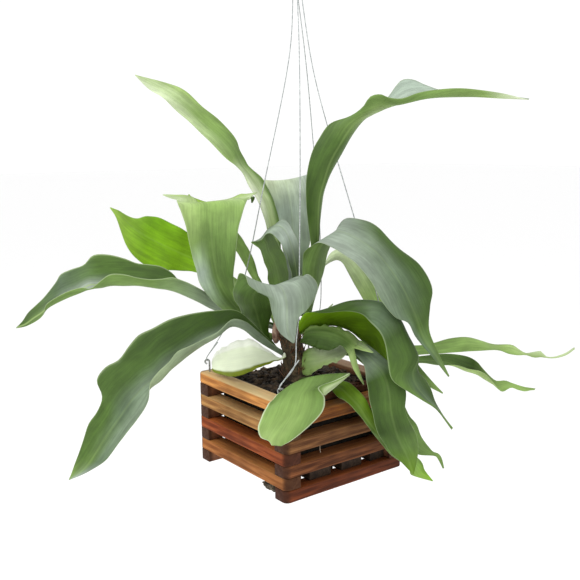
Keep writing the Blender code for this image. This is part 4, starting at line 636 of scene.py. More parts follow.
def smooth_points(points, count):
    """Points along a Catmull-Rom curve through the given points, evenly spaced by length."""
    points = np.asarray(points, dtype=float)
    ends = np.vstack([2 * points[0] - points[1], points, 2 * points[-1] - points[-2]])
    steps = np.linspace(0, 1, CURVE_STEPS, endpoint=False)[:, None]
    fine = []
    for a, b, c, d in zip(ends[:-3], ends[1:-2], ends[2:-1], ends[3:]):
        fine.append(0.5 * (2 * b + (c - a) * steps + (2 * a - 5 * b + 4 * c - d) * steps ** 2
                           + (3 * b - a - 3 * c + d) * steps ** 3))
    fine = np.vstack(fine + [points[-1:]])
    length = np.concatenate([[0], np.cumsum(np.linalg.norm(np.diff(fine, axis=0), axis=1))])
    wanted = np.linspace(0, length[-1], count)
    return np.stack([np.interp(wanted, length, fine[:, k]) for k in range(fine.shape[1])], axis=1)


def smooth_values(values, count):
    """A list of values read smoothly at evenly spaced places along its length."""
    values = np.asarray(values, dtype=float)
    ends = np.concatenate([[2 * values[0] - values[1]], values, [2 * values[-1] - values[-2]]])
    place = np.linspace(0, len(values) - 1, count)
    first = np.clip(np.floor(place).astype(int), 0, len(values) - 2)
    t = place - first
    a, b, c, d = (ends[first + k] for k in range(4))
    return 0.5 * (2 * b + (c - a) * t + (2 * a - 5 * b + 4 * c - d) * t ** 2
                  + (3 * b - a - 3 * c + d) * t ** 3)


def fine_path(points, count):
    """A path with rounded bends through the same points."""
    return [Vector(point) for point in smooth_points([list(point) for point in points], count)]


def arc(middle, radius, first, second, degrees):
    """Points round an arc. At 0 degrees it lies toward the first direction, at 90 toward the second."""
    turns = [math.radians(value) for value in degrees]
    return [middle + radius * (first * math.cos(turn) + second * math.sin(turn)) for turn in turns]


def blade_frames(points, side, rolls):
    """Side and upper-face directions along a midrib, rolled about it."""
    along = np.gradient(points, axis=0)
    along /= np.linalg.norm(along, axis=1, keepdims=True)
    across = side - (along @ side)[:, None] * along
    across /= np.linalg.norm(across, axis=1, keepdims=True)
    upper = np.cross(along, across)
    turn = np.radians(rolls)[:, None]
    return across * np.cos(turn) + upper * np.sin(turn), upper * np.cos(turn) - across * np.sin(turn)


def blade_rows(points, across, upper, widths, lifts, columns):
    """Rows of points from the left margin to the right one. Each half is lifted like a wing."""
    rows = np.zeros((len(points), columns + 1, 3))
    for column, place in enumerate(np.linspace(1, -1, columns + 1)):
        half = 0 if place > 0 else 1
        width = np.maximum(widths[half], TIP_HALF_WIDTH / MILLIMETRE)
        reach = np.sign(place) * abs(place) * width * np.cos(lifts[half])
        rise = abs(place) ** 1.5 * width * np.sin(lifts[half])
        rows[:, column] = points + across * reach[:, None] + upper * rise[:, None]
    return rows


def guide_rows(frond, count, columns):
    """Rows across a frond's three matched lines, and where each row lies among their points."""
    lines = []
    for name in ("left_edge", "spine", "right_edge"):
        guide = np.array(frond[name], dtype=float)
        lines.append(np.column_stack([smooth_values(axis, GUIDE_STEPS) for axis in guide.T]))
    steps = np.linalg.norm(np.diff(lines[1], axis=0), axis=1)
    length = np.concatenate([[0], np.cumsum(steps)])
    picks = np.interp(np.linspace(0, length[-1], count), length, np.arange(GUIDE_STEPS))
    left, middle, right = (np.column_stack([np.interp(picks, np.arange(GUIDE_STEPS), axis)
                                            for axis in line.T])[:, None] for line in lines)
    place = np.linspace(1, -1, columns + 1)[None, :, None]
    rows = middle + place * (left - right) / 2 + place ** 2 * ((left + right) / 2 - middle)
    return rows, picks * (len(frond["spine"]) - 1) / (GUIDE_STEPS - 1)


def flap_sheet(main, places, flap):
    """A strip of blade that folds under along the left margin."""
    first, last = flap["along"]
    chosen = [row for row, place in enumerate(places) if first <= place <= last]
    inner = main[chosen, 0]
    outer = smooth_points(flap["edge"], len(chosen))
    share = np.linspace(0, 1, FLAP_COLUMNS + 1)[None, :, None]
    return outer[:, None] + share * (inner - outer)[:, None]


def lobe_sheet(first, side, lobe, count, columns):
    """A lobe that grows out of half of the last row of its frond."""
    points = smooth_points(np.vstack([first[len(first) // 2], lobe["spine"]]), count)
    across, upper = blade_frames(points, side, np.zeros(count))
    widths = [smooth_values(lobe[half], count) for half in ("left", "right")]
    rows = blade_rows(points, across, upper, widths, [np.zeros(count)] * 2, columns)
    fade = (np.linspace(1, 0, count) ** 2)[:, None, None]
    return rows + fade * (first - rows[0])


def frond_sheets(frond, count, columns, lobe_count):
    """The main sheet of a frond, then its lobes and its flap, in millimetres."""
    if "left_edge" in frond:
        main, places = guide_rows(frond, count, columns)
        side = main[-1, 0] - main[-1, -1]
        side = side / np.linalg.norm(side)
    else:
        points = smooth_points(frond["spine"], count)
        heading = math.radians(frond["heading"])
        side = np.array((-math.sin(heading), math.cos(heading), 0.0))
        across, upper = blade_frames(points, side, smooth_values(frond["roll"], count))
        widths = [smooth_values(frond[half], count) for half in ("left", "right")]
        lifts = [np.radians(smooth_values(values, count)) for values in frond["lift"]]
        main = blade_rows(points, across, upper, widths, lifts, columns)
        side = across[-1]
    sheets = [main]
    half = columns // 2
    for index, lobe in enumerate(frond.get("lobes", [])):
        first = main[-1, :half + 1] if index == 0 else main[-1, half:]
        sheets.append(lobe_sheet(first, side, lobe, lobe_count, half))
    if "flap" in frond:
        sheets.append(flap_sheet(main, places, frond["flap"]))
    return sheets


def leaf_points(frond):
    """A frond's sheets, with each point's across, along, nearness to the margin, span and reach."""
    sheets = frond_sheets(frond, FINE_ROWS, FINE_COLUMNS, FINE_LOBE)
    marked = []
    for index, sheet in enumerate(sheets):
        count, width = sheet.shape[:2]
        v = np.linspace(1, -1, width)[None, :].repeat(count, 0)
        s = np.linspace(0, 1, count)[:, None].repeat(width, 1)
        middle = sheet[:, width // 2]
        steps = np.linalg.norm(np.diff(middle, axis=0), axis=1)
        reach = np.concatenate([[0], np.cumsum(steps)])[:, None].repeat(width, 1)
        span = np.sign(v) * np.linalg.norm(sheet - middle[:, None], axis=2)
        if index == 0:
            across, along, edge = v, s, np.abs(v)
            trunk = reach[-1, 0]
        elif "flap" in frond and index == len(sheets) - 1:
            across, along, edge = np.ones_like(v), np.full_like(s, LOBE_END), 0.5 + 0.5 * v
            span = FLAP_SPAN + FLAP_SPAN * v
            reach = reach + trunk
        else:
            outer = 1 if index == 1 else -1
            across = outer * (0.5 + 0.5 * outer * v)
            along = 1 + (LOBE_END - 1) * s
            edge = np.abs(v) * np.where(outer * v < 0, np.minimum(1, 3 * s), 1)
            span = span + outer * LOBE_SPAN
            reach = reach + trunk
        marked.append((sheet, across, along, edge, span, reach))
    return marked


def ripple(frond, sheet, across, along, edge, seed):
    """Soft waves along the margins, moved along the blade's own normal."""
    normal = np.cross(np.gradient(sheet, axis=1), np.gradient(sheet, axis=0))
    normal /= np.maximum(np.linalg.norm(normal, axis=2, keepdims=True), 1e-9)
    phase = np.random.default_rng(seed).uniform(0, 2 * math.pi, 4)
    side = np.where(across > 0, phase[0], phase[1])
    wave = np.sin(2 * math.pi * WAVE_COUNT * along + side) * 0.6
    wave += np.sin(2 * math.pi * (1.7 * WAVE_COUNT) * along + side * 1.7 + phase[2]) * 0.4
    fade = np.clip(along * 3, 0, 1) * np.clip((1.02 - along) * 6, 0, 1)
    lift = WAVE_HEIGHT * wave * np.abs(edge) ** 2.2 * fade
    if "flap" in frond:
        lift = np.where(across > 0, 0.0, lift)
    return sheet + normal * lift[:, :, None]


def place_key(place):
    """A place as a key, so that a lobe's first row finds the points it shares."""
    return tuple(round(float(value), 2) for value in place)


def leaf_mesh(name, frond, seed):
    """A closed thin blade with its upper face, lower face and margin, and marks for its material."""
    places = []
    marks = []
    quads = []
    index_of = {}
    for sheet, across, along, edge, span, reach in leaf_points(frond):
        sheet = ripple(frond, sheet, across, along, edge, seed)
        count, width = sheet.shape[:2]
        index = np.zeros((count, width), dtype=int)
        for i in range(count):
            for j in range(width):
                border = i in (0, count - 1) or j in (0, width - 1)
                key = place_key(sheet[i, j]) if border else None
                if key in index_of:
                    index[i, j] = index_of[key]
                    continue
                index[i, j] = len(places)
                if border:
                    index_of[key] = len(places)
                places.append(sheet[i, j])
                marks.append((across[i, j], along[i, j], edge[i, j], span[i, j], reach[i, j]))
        for i in range(count - 1):
            for j in range(width - 1):
                quads.append((index[i, j], index[i, j + 1], index[i + 1, j + 1], index[i + 1, j]))
    return closed_blade(name, np.array(places) * MILLIMETRE, np.array(marks), np.array(quads))


def point_normals(places, quads):
    """The normal at each point of an open sheet."""
    corner = places[quads]
    face_normal = np.cross(corner[:, 2] - corner[:, 0], corner[:, 3] - corner[:, 1])
    normals = np.zeros_like(places)
    for k in range(4):
        np.add.at(normals, quads[:, k], face_normal)
    return normals / np.maximum(np.linalg.norm(normals, axis=1, keepdims=True), 1e-12)


def closed_blade(name, places, marks, quads):
    """Give an open sheet two faces and a margin between them."""
    normals = point_normals(places, quads)
    base = np.exp(-marks[:, 1] * 9) * (1 - marks[:, 2] ** 2)
    half = LEAF_HALF_THICKNESS * (1 - 0.55 * marks[:, 2] ** 4) + STALK_HALF_THICKNESS * base
    lower = places - normals * half[:, None]
    upper = places + normals * half[:, None]
    total = len(places)
    quads = quads.tolist()
    edges = dict.fromkeys(pair for quad in quads for pair in zip(quad, quad[1:] + quad[:1]))
    faces = [tuple(quad[::-1]) for quad in quads]
    faces += [tuple(k + total for k in quad) for quad in quads]
    faces += [(a, b, b + total, a + total) for a, b in edges if (b, a) not in edges]
    mesh = bpy.data.meshes.new(name)
    mesh.from_pydata(np.vstack([lower, upper]).tolist(), [], faces)
    mesh.update()
    face_mark = np.concatenate([np.zeros(total), np.ones(total)])
    ribs = np.column_stack([np.tile(marks[:, 3], 2), np.tile(marks[:, 4], 2), face_mark])
    for attribute, data in (("where", np.vstack([marks[:, :3]] * 2)), ("ribs", ribs)):
        made = mesh.attributes.new(attribute, "FLOAT_VECTOR", "POINT")
        made.data.foreach_set("vector", data.astype(np.float32).ravel())
    mesh.shade_smooth()
    return mesh


def rod_place(corner):
    """Where a corner's rod stands."""
    return Vector((corner[0] * (BASKET_HALF - ROD_INSET), corner[1] * (BASKET_HALF - ROD_INSET), 0.0))


def eye_middle(hanger):
    """The middle of the eye at the top of a corner rod."""
    return (rod_place(hanger["corner"]) + EYE_ALONG * (hanger["lean"] + EYE_RADIUS)
            + UP * EYE_HEIGHT)


def rod_path(hanger):
    """Up through the slats, a lean to the side and an eye on top."""
    foot = rod_place(hanger["corner"])
    leaned = foot + EYE_ALONG * hanger["lean"]
    path = [foot - UP * ((RIM_Z - BASKET_LOW_Z) - ROD_FOOT), foot + UP * ROD_TOP, leaned + UP * ROD_NECK]
    return path + arc(eye_middle(hanger), EYE_RADIUS, -EYE_ALONG, UP, range(0, 271, 30))


def ring_middle():
    """The middle of the small ring below the hook."""
    return UP * (HANG - HOOK_MOUTH + HOOK_RADIUS - RING_DROP)


def hook_path():
    """The small ring that holds the wires, the shank and the open hook above it."""
    middle = ring_middle()
    path = arc(middle, RING_RADIUS, SIDEWAYS, UP, range(75, 361, 15))
    path += [middle + Vector((x, 0.0, z)) for x, z in HOOK_SHANK]
    return path + arc(middle + UP * RING_DROP, HOOK_MOUTH, SIDEWAYS, UP, range(0, 211, 15))


def ring_loop(hanger):
    """The wire's loop over the ring, from its free end round to where it leaves downward."""
    angle = math.radians(hanger["place"])
    outward = Vector((math.sin(angle), 0.0, -math.cos(angle)))
    leave = Vector((0.0, hanger["side"], 0.0))
    reach = HOOK_RADIUS + WIRE_CLEARANCE + WIRE_RADIUS
    return arc(ring_middle() + RING_RADIUS * outward, reach, leave, -outward, range(225, -1, -25))


def wire_path(hanger):
    """From the ring down to the eye, under its top and back up as a short tail."""
    start = ring_loop(hanger)
    top_of_eye = eye_middle(hanger) + UP * EYE_RADIUS
    reach = ROD_RADIUS + WIRE_CLEARANCE + WIRE_RADIUS
    fold = arc(top_of_eye, reach, EYE_ACROSS * hanger["fold"], -UP, range(0, 181, 30))
    lead = UP * WIRE_LEADS[0]
    middle = [start[-1] - UP * drop for drop in WIRE_LEADS]
    middle += [Vector(point) * MILLIMETRE for point in hanger["route"]]
    middle.append(fold[0] + lead)
    tip = Vector(hanger["tail"]) * MILLIMETRE
    return start + fine_path(middle, WIRE_STEPS) + fold + [fold[-1] + lead, tip]


class Nodes:
    """Short way to build a material's nodes."""

    def __init__(self, name):
        self.material = bpy.data.materials.new(name)
        self.material.use_nodes = True
        self.tree = self.material.node_tree
        self.shader = self.tree.nodes["Principled BSDF"]

    def add(self, kind, **settings):
        """A node with settings."""
        node = self.tree.nodes.new(kind)
        for key, value in settings.items():
            setattr(node, key, value)
        return node

    def give(self, socket, value):
        """Link an output to a socket, or set the socket's value."""
        if isinstance(value, bpy.types.NodeSocket):
            self.tree.links.new(value, socket)
        elif isinstance(value, tuple) and len(value) == 3 and socket.type == "RGBA":
            socket.default_value = (*value, 1.0)
        else:
            socket.default_value = value

    def fill(self, node, values, first=0):
        """Give values to a node's inputs, one after another."""
        for key, value in enumerate(values, first):
            self.give(node.inputs[key], value)
        return node

    def mix(self, amount, a, b, blend="MIX"):
        """A colour mix."""
        node = self.add("ShaderNodeMix", data_type="RGBA", blend_type=blend)
        self.give(node.inputs[0], amount)
        return self.fill(node, (a, b), 6).outputs[2]

    def math(self, operation, a, b=0.0):
        """One step of arithmetic."""
        return self.fill(self.add("ShaderNodeMath", operation=operation), (a, b)).outputs[0]

    def ramp(self, value, low, high, bottom=0.0, top=1.0):
        """A smooth step from bottom to top as the value goes from low to high."""
        node = self.add("ShaderNodeMapRange", interpolation_type="SMOOTHSTEP")
        return self.fill(node, (value, low, high, bottom, top)).outputs[0]

    def noise(self, vector, scale, detail=4.0, roughness=0.5):
        """A noise value between 0 and 1."""
        node = self.add("ShaderNodeTexNoise")
        self.give(node.inputs["Vector"], vector)
        node.inputs["Scale"].default_value = scale
        node.inputs["Detail"].default_value = detail
        node.inputs["Roughness"].default_value = roughness
        return node.outputs["Fac"]

    def combine(self, x, y, z):
        """A vector from three values."""
        return self.fill(self.add("ShaderNodeCombineXYZ"), (x, y, z)).outputs[0]

    def parts(self, vector):
        """The three parts of a vector."""
        return self.fill(self.add("ShaderNodeSeparateXYZ"), (vector,)).outputs

    def stretched(self, parts, factors):
        """A vector of values, each multiplied by its factor."""
        return [self.math("MULTIPLY", part, factor) for part, factor in zip(parts, factors)]

    def attribute(self, name):
        """The three parts of a vector attribute."""
        return self.parts(self.add("ShaderNodeAttribute", attribute_name=name).outputs["Vector"])

    def object_place(self):
        """The place in the object's own space."""
        return self.add("ShaderNodeTexCoord").outputs["Object"]

    def shade(self, colour, value, low, high, bottom, top):
        """A colour made darker and lighter by a value."""
        grey = self.ramp(value, low, high, bottom, top)
        return self.mix(1.0, colour, self.combine(grey, grey, grey), "MULTIPLY")

    def bump(self, height, strength, distance):
        """Relief from a height."""
        node = self.add("ShaderNodeBump")
        self.give(node.inputs["Height"], height)
        node.inputs["Strength"].default_value = strength
        node.inputs["Distance"].default_value = distance
        self.tree.links.new(node.outputs[0], self.shader.inputs["Normal"])

    def surface(self, colour, roughness, specular):
        """The shader's own colour, roughness and specular level."""
        self.give(self.shader.inputs["Base Color"], colour)
        self.give(self.shader.inputs["Roughness"], roughness)
        self.shader.inputs["Specular IOR Level"].default_value = specular


def halfway(first, second):
    """The colour halfway between two."""
    return tuple(0.5 * (a + b) for a, b in zip(first, second))


def full_stop(stop):
    """A stop as its place and the colours of the left margin, the middle and the right margin."""
    left, right = stop[1], stop[-1]
    middle = stop[2] if len(stop) == 4 else halfway(left, right)
    return stop[0], left, middle, right


def along_ramp(make, along, stops, column):
    """The colour down one column of a leaf's stops."""
    node = make.add("ShaderNodeValToRGB")
    make.give(node.inputs[0], make.math("DIVIDE", along, LOBE_END))
    elements = node.color_ramp.elements
    elements.remove(elements[1])
    for number, stop in enumerate(stops):
        element = elements[0] if number == 0 else elements.new(stop[0] / LOBE_END)
        element.position = stop[0] / LOBE_END
        element.color = (*stop[column], 1.0)
    return node.outputs[0]


def face_colour(make, across, along, stops, inner):
    """One face of a leaf: its stops down the left margin, the middle and the right margin."""
    stops = [full_stop(stop) for stop in stops]
    near, far = inner
    left, middle, right = (along_ramp(make, along, stops, column) for column in (1, 2, 3))
    colour = make.mix(make.ramp(across, near, far), middle, left)
    return make.mix(make.ramp(make.math("MULTIPLY", across, -1.0), near, far), colour, right)


def leaf_material(name, look, seed):
    """A frond's colours with their painted light and shade: each face and half, the pale margin with a
    painted rim highlight, the lengthwise veins and mottling.
    """
    make = Nodes(name)
    across, along, edge = make.attribute("where")
    span, reach, upper_face = make.attribute("ribs")
    inner = look.get("inner", (0.1, 0.85))
    colour = make.mix(upper_face, face_colour(make, across, along, look["lower"], inner),
                      face_colour(make, across, along, look["upper"], inner))
    fine_place = make.combine(*make.stretched((span, reach), (0.42, 0.022)), float(seed))
    veins = make.noise(fine_place, 1.0, 3.0, 0.62)
    broad_place = make.combine(*make.stretched((span, reach), (0.07, 0.02)), float(seed) + 40)
    broad = make.noise(broad_place, 1.0, 3.0, 0.5)
    mottle = make.noise(make.object_place(), 55.0, 4.0, 0.6)
    streaks = look.get("streaks", 1.0)
    for value, depth in ((veins, 0.11), (broad, 0.16), (mottle, 0.07)):
        colour = make.shade(colour, value, 0.32, 0.7, 1 - depth * streaks, 1 + depth * streaks)
    midline = make.ramp(make.math("ABSOLUTE", span), 0.4, 2.2, look.get("keel", 0.1), 0.0)
    colour = make.mix(midline, colour, SPROUT)
    # The pale margin: the margin's own paler colour with a painted rim highlight
    rim = make.ramp(edge, look.get("rim_from", 0.965), 0.99, 0.0, look.get("rim", 0.35))
    colour = make.mix(rim, colour, look.get("rim_colour", PALE))
    make.surface(colour, make.ramp(mottle, 0.3, 0.7, 0.44, 0.6), 0.22)
    height = make.math("ADD", make.math("MULTIPLY", veins, 0.8), make.math("MULTIPLY", mottle, 0.25))
    make.bump(height, 0.35 * streaks, 0.0012)
    return make.material


def wood_material(name, light, dark, weather_and_top_light, weather_and_top_light_amount):
    """Grain along the slat, darker ends that are end grain with painted shade at the corners, and grey
    weathering with painted top light on what faces up.
    """
    make = Nodes(name)
    parts = make.parts(make.object_place())
    grain = make.noise(make.combine(*make.stretched(parts, (9.0, 160.0, 160.0))), 1.0, 6.0, 0.65)
    broad = make.noise(make.combine(*make.stretched(parts, (14.0, 40.0, 40.0))), 1.0, 3.0, 0.5)
    colour = make.mix(make.ramp(grain, 0.32, 0.66), dark, light)
    darkest = tuple(0.5 * value for value in dark)
    colour = make.mix(make.ramp(broad, 0.35, 0.7, 0.0, 0.55), colour, darkest)
    facing = make.parts(make.add("ShaderNodeNewGeometry").outputs["Normal"])
    # What faces up takes grey weathering together with a painted light from above
    up = make.ramp(facing[2], 0.2, 0.8, 0.0, weather_and_top_light_amount)
    patchy = make.math("MULTIPLY", up, make.ramp(broad, 0.2, 0.6, 0.55, 1.0))
    colour = make.mix(patchy, colour, weather_and_top_light)
    # The ends darken to end grain, with painted shade at the corners
    from_middle = make.math("ABSOLUTE", parts[0])
    ends = make.ramp(from_middle, BASKET_HALF - 0.010, BASKET_HALF - 0.002, 0.0, 0.85)
    colour = make.mix(ends, colour, END_GRAIN_AND_CORNER_SHADE)
    make.surface(colour, make.ramp(grain, 0.3, 0.7, 0.75, 0.5), 0.15)
    make.bump(grain, 0.6, 0.0011)
    return make.material


def plain_material(name, dark, light, scale, roughness, metallic=0.0, depth=0.0008, strength=0.6):
    """A mottled material for bark, moss, root or wire, some with a dark red-brown painted shade along the
    front top edge.
    """
    make = Nodes(name)
    place = make.object_place()
    coarse = make.noise(place, scale, 5.0, 0.6)
    fine = make.noise(place, scale * 6, 4.0, 0.6)
    colour = make.mix(make.ramp(coarse, 0.35, 0.68), dark, light)
    # Painted shade: dark red-brown along the front top edge, under the leaves
    if name in RED_SHADE_FRONTED:
        parts = make.parts(place)
        near_front = make.ramp(parts[1], -0.068, -0.055, 1.0, 0.0)
        near_top = make.ramp(parts[2], -0.018, -0.013)
        colour = make.mix(make.math("MULTIPLY", near_front, near_top), colour, RED_BROWN_SHADE)
    colour = make.shade(colour, fine, 0.3, 0.7, 0.7, 1.25)
    make.surface(colour, make.ramp(fine, 0.3, 0.7, roughness - 0.1, roughness + 0.1), 0.3)
    make.shader.inputs["Metallic"].default_value = metallic
    make.bump(fine, strength, depth)
    return make.material


def show(name, mesh, material, node, in_rim_frame=True):
    """Put a piece in the scene on the part's one body, standing for a CAD node or beside one."""
    piece = bpy.data.objects.new(name, mesh)
    bpy.context.scene.collection.objects.link(piece)
    mesh.materials.clear()
    mesh.materials.append(material)
    if in_rim_frame:
        piece.location = RIM
    bpy.context.view_layer.update()
    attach(piece, "root")
    if node:
        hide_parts(node)
    return piece


def finished(bm, name, smooth=True):
    """The mesh of what was built, smooth shaded or not."""
    mesh = bpy.data.meshes.new(name)
    bm.to_mesh(mesh)
    bm.free()
    if smooth:
        mesh.shade_smooth()
    return mesh


def join_rings(bm, rings):
    """Faces between each closed ring of points and the next."""
    for lower, upper in zip(rings[:-1], rings[1:]):
        for k in range(len(lower)):
            after = (k + 1) % len(lower)
            bm.faces.new((lower[k], lower[after], upper[after], upper[k]))


def rough(x, y, z, scale, octaves):
    """An uneven value at a place."""
    return noise.fractal(Vector((x, y, z)) * scale, 1.0, 2.0, octaves)


def build_fronds():
    """Every frond and shield as a fine blade in place of its plain one."""
    for seed, (name, frond) in enumerate(FRONDS.items()):
        mesh = leaf_mesh("fine_" + name, frond, seed)
        show("fine_" + name, mesh, leaf_material("leaf_" + name, LOOKS[name], seed), name)


def slat_shape(name, size, corner, ease, seed):
    """A slat along X with rounded outer corners, eased edges and a slightly uneven surface."""
    bm = bmesh.new()
    bmesh.ops.create_cube(bm, size=1.0)
    for vertex in bm.verts:
        for axis in range(3):
            vertex.co[axis] *= size[axis]
    if corner:
        outer = [edge for edge in bm.edges
                 if abs(edge.verts[0].co.z - edge.verts[1].co.z) > 0 and edge.verts[0].co.y < 0]
        bmesh.ops.bevel(bm, geom=outer, offset=corner, segments=CORNER_SEGMENTS, profile=0.5,
                        affect="EDGES")
    long_edges = [edge for edge in bm.edges
                  if edge.is_manifold and edge.calc_face_angle(0) > math.radians(60)]
    bmesh.ops.bevel(bm, geom=long_edges, offset=ease, segments=EASE_SEGMENTS, profile=0.5,
                    affect="EDGES")
    for place in np.linspace(-SLAT_CUT_REACH, SLAT_CUT_REACH, SLAT_CUTS):
        bmesh.ops.bisect_plane(bm, geom=bm.verts[:] + bm.edges[:] + bm.faces[:],
                               plane_co=(place * size[0], 0, 0), plane_no=(1, 0, 0))
    for vertex in bm.verts:
        place = Vector((vertex.co.x * 14, vertex.co.y * 30, vertex.co.z * 30 + seed * 7))
        wander = noise.noise_vector(place)
        vertex.co += Vector((0.0, wander.y * SLAT_WANDER, wander.z * SLAT_WANDER))
    bmesh.ops.recalc_face_normals(bm, faces=bm.faces)
    mesh = finished(bm, name)
    mesh.set_sharp_from_angle(angle=math.radians(50))
    return mesh


def build_slats():
    """Side slats and floor slats in place of the plain ones, each with its own copy of the wood, carrying
    painted light and shade by side and level.
    """
    turns = {"front": 0.0, "back": math.pi, "right": math.pi / 2, "left": -math.pi / 2,
             "floor": -math.pi / 2}
    noise.seed_set(WANDER_SEED)
    for node in sorted(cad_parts):
        if not node.startswith(("slat_", "floor_slat_")):
            continue
        low, high = (Vector(corner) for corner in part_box(node))
        box = high - low
        size = (max(box.x, box.y), min(box.x, box.y), box.z)
        floor = node.startswith("floor")
        side = "floor" if floor else node.split("_")[1]
        level = int(node.rsplit("_", 1)[1])
        seed = sum(ord(letter) for letter in node)
        mesh = slat_shape("wood_" + node, size, 0 if floor else CORNER_RADIUS,
                          RIM_EASE if level == RIM_LEVEL else SLAT_EASE, seed)
        # Each side and level takes its own copy of the wood: painted light on the upper left slats,
        # painted shade lower down and on the front side
        look = WOOD.get(side + str(level)) or WOOD[side]
        piece = show("wood_" + node, mesh, wood_material("wood_" + node, *look), node, False)
        piece.rotation_euler.z = turns[side]
        piece.location = (low + high) / 2


def tube(name, points, radius, sides=5):
    """A round bar along a path, with closed ends, as a mesh."""
    curve = bpy.data.curves.new(name, "CURVE")
    curve.dimensions = "3D"
    curve.bevel_depth = radius
    curve.bevel_resolution = sides
    curve.use_fill_caps = True
    spline = curve.splines.new("POLY")
    spline.points.add(len(points) - 1)
    for point, place in zip(spline.points, points):
        point.co = (*place, 1.0)
    holder = bpy.data.objects.new(name, curve)
    bpy.context.scene.collection.objects.link(holder)
    evaluated = holder.evaluated_get(bpy.context.evaluated_depsgraph_get())
    mesh = bpy.data.meshes.new_from_object(evaluated)
    bpy.data.objects.remove(holder)
    bpy.data.curves.remove(curve)
    mesh.shade_smooth()
    mesh.set_sharp_from_angle(angle=math.radians(50))
    return mesh


def build_metal():
    """Rods with their eyes, the hook and the four wires."""
    steel = plain_material("galvanised_steel", *MATTER["galvanised_steel"])
    wire = plain_material("hanger_wire", *MATTER["hanger_wire"])
    bars = []
    for name, hanger in HANGERS.items():
        bars.append(("rod_" + name, rod_path(hanger), ROD_POINTS, ROD_RADIUS * ROD_SWELL, steel))
        bars.append(("wire_" + name, wire_path(hanger), WIRE_POINTS, WIRE_RADIUS, wire))
    bars.append(("hook", hook_path(), HOOK_POINTS, HOOK_RADIUS, steel))
    for node, path, points, radius, material in bars:
        show("steel_" + node, tube("steel_" + node, fine_path(path, points), radius), material, node)


def stump_reach(height, angle):
    """The rhizome's centre and radius at a height in millimetres."""
    rings = np.array(RHIZOME, dtype=float)
    x, y, radius = (np.interp(height, rings[:, 0], rings[:, k]) for k in (1, 2, 3))
    level = np.interp(height, rings[:, 0], np.arange(len(rings)))
    bump = 1 + 0.05 * math.sin(3 * angle + level) + 0.04 * math.sin(5 * angle - 2 * level)
    return x, y, radius * bump


def stump_mesh():
    """The rhizome with its rough, scaly surface."""
    bm = bmesh.new()
    low, high = RHIZOME[0][0], RHIZOME[-1][0]
    rings = []
    for level in range(STUMP_LEVELS + 1):
        height = low + (high - low) * level / STUMP_LEVELS
        ring = []
        for side in range(STUMP_SIDES):
            angle = 2 * math.pi * side / STUMP_SIDES
            across, up = math.cos(angle), math.sin(angle)
            x, y, radius = stump_reach(height, angle)
            reach = radius + 1.6 * rough(across * 2.2, up * 2.2, height * 0.06, 1, 4) - 1.0
            ring.append(bm.verts.new(Vector((x + reach * across, y + reach * up, height)) * MILLIMETRE))
        rings.append(ring)
    join_rings(bm, rings)
    bm.faces.new(rings[0])
    bm.faces.new(rings[-1])
    bmesh.ops.recalc_face_normals(bm, faces=bm.faces)
    return finished(bm, "scaly_rhizome")


def chaff_mesh():
    """Papery scales and short fibres that clothe the rhizome, worked out in millimetres."""
    draw = random.Random(21)
    bm = bmesh.new()
    for _ in range(CHAFF_COUNT):
        height = draw.uniform(-8, 100)
        angle = draw.uniform(0, 2 * math.pi)
        x, y, radius = stump_reach(height, angle)
        outward = Vector((math.cos(angle), math.sin(angle), 0.0))
        sideways = Vector((-math.sin(angle), math.cos(angle), 0.0))
        root = Vector((x, y, height)) + outward * (radius - 2.0)
        rise = UP * draw.uniform(0.5, 1.0) + outward * draw.uniform(0.15, 0.6)
        rise += sideways * draw.uniform(-0.4, 0.4)
        length = draw.uniform(5, 12)
        width = draw.uniform(0.8, 2.2)
        tip = root + rise.normalized() * length
        middle = root.lerp(tip, 0.45) + outward * 0.8
        corners = [root - sideways * width * 0.4, root + sideways * width * 0.4,
                   middle + sideways * width * 0.5, tip, middle - sideways * width * 0.5]
        outer = [bm.verts.new(corner * MILLIMETRE) for corner in corners]
        inner = [bm.verts.new((corner - outward * CHAFF_THICKNESS) * MILLIMETRE) for corner in corners]
        bm.faces.new(outer)
        bm.faces.new(inner[::-1])
        for k in range(len(corners)):
            after = (k + 1) % len(corners)
            bm.faces.new((outer[k], inner[k], inner[after], outer[after]))
    bmesh.ops.recalc_face_normals(bm, faces=bm.faces)
    return finished(bm, "rhizome_scales", smooth=False)


def medium_top(x, y, reach):
    """The height of the medium's rough, slightly mounded top."""
    mound = MEDIUM_MOUND * max(0.0, 1 - math.hypot(x, y) / reach)
    return MEDIUM_LEVEL + mound + MEDIUM_ROUGH * rough(x, y, 0.3, 85, 4)


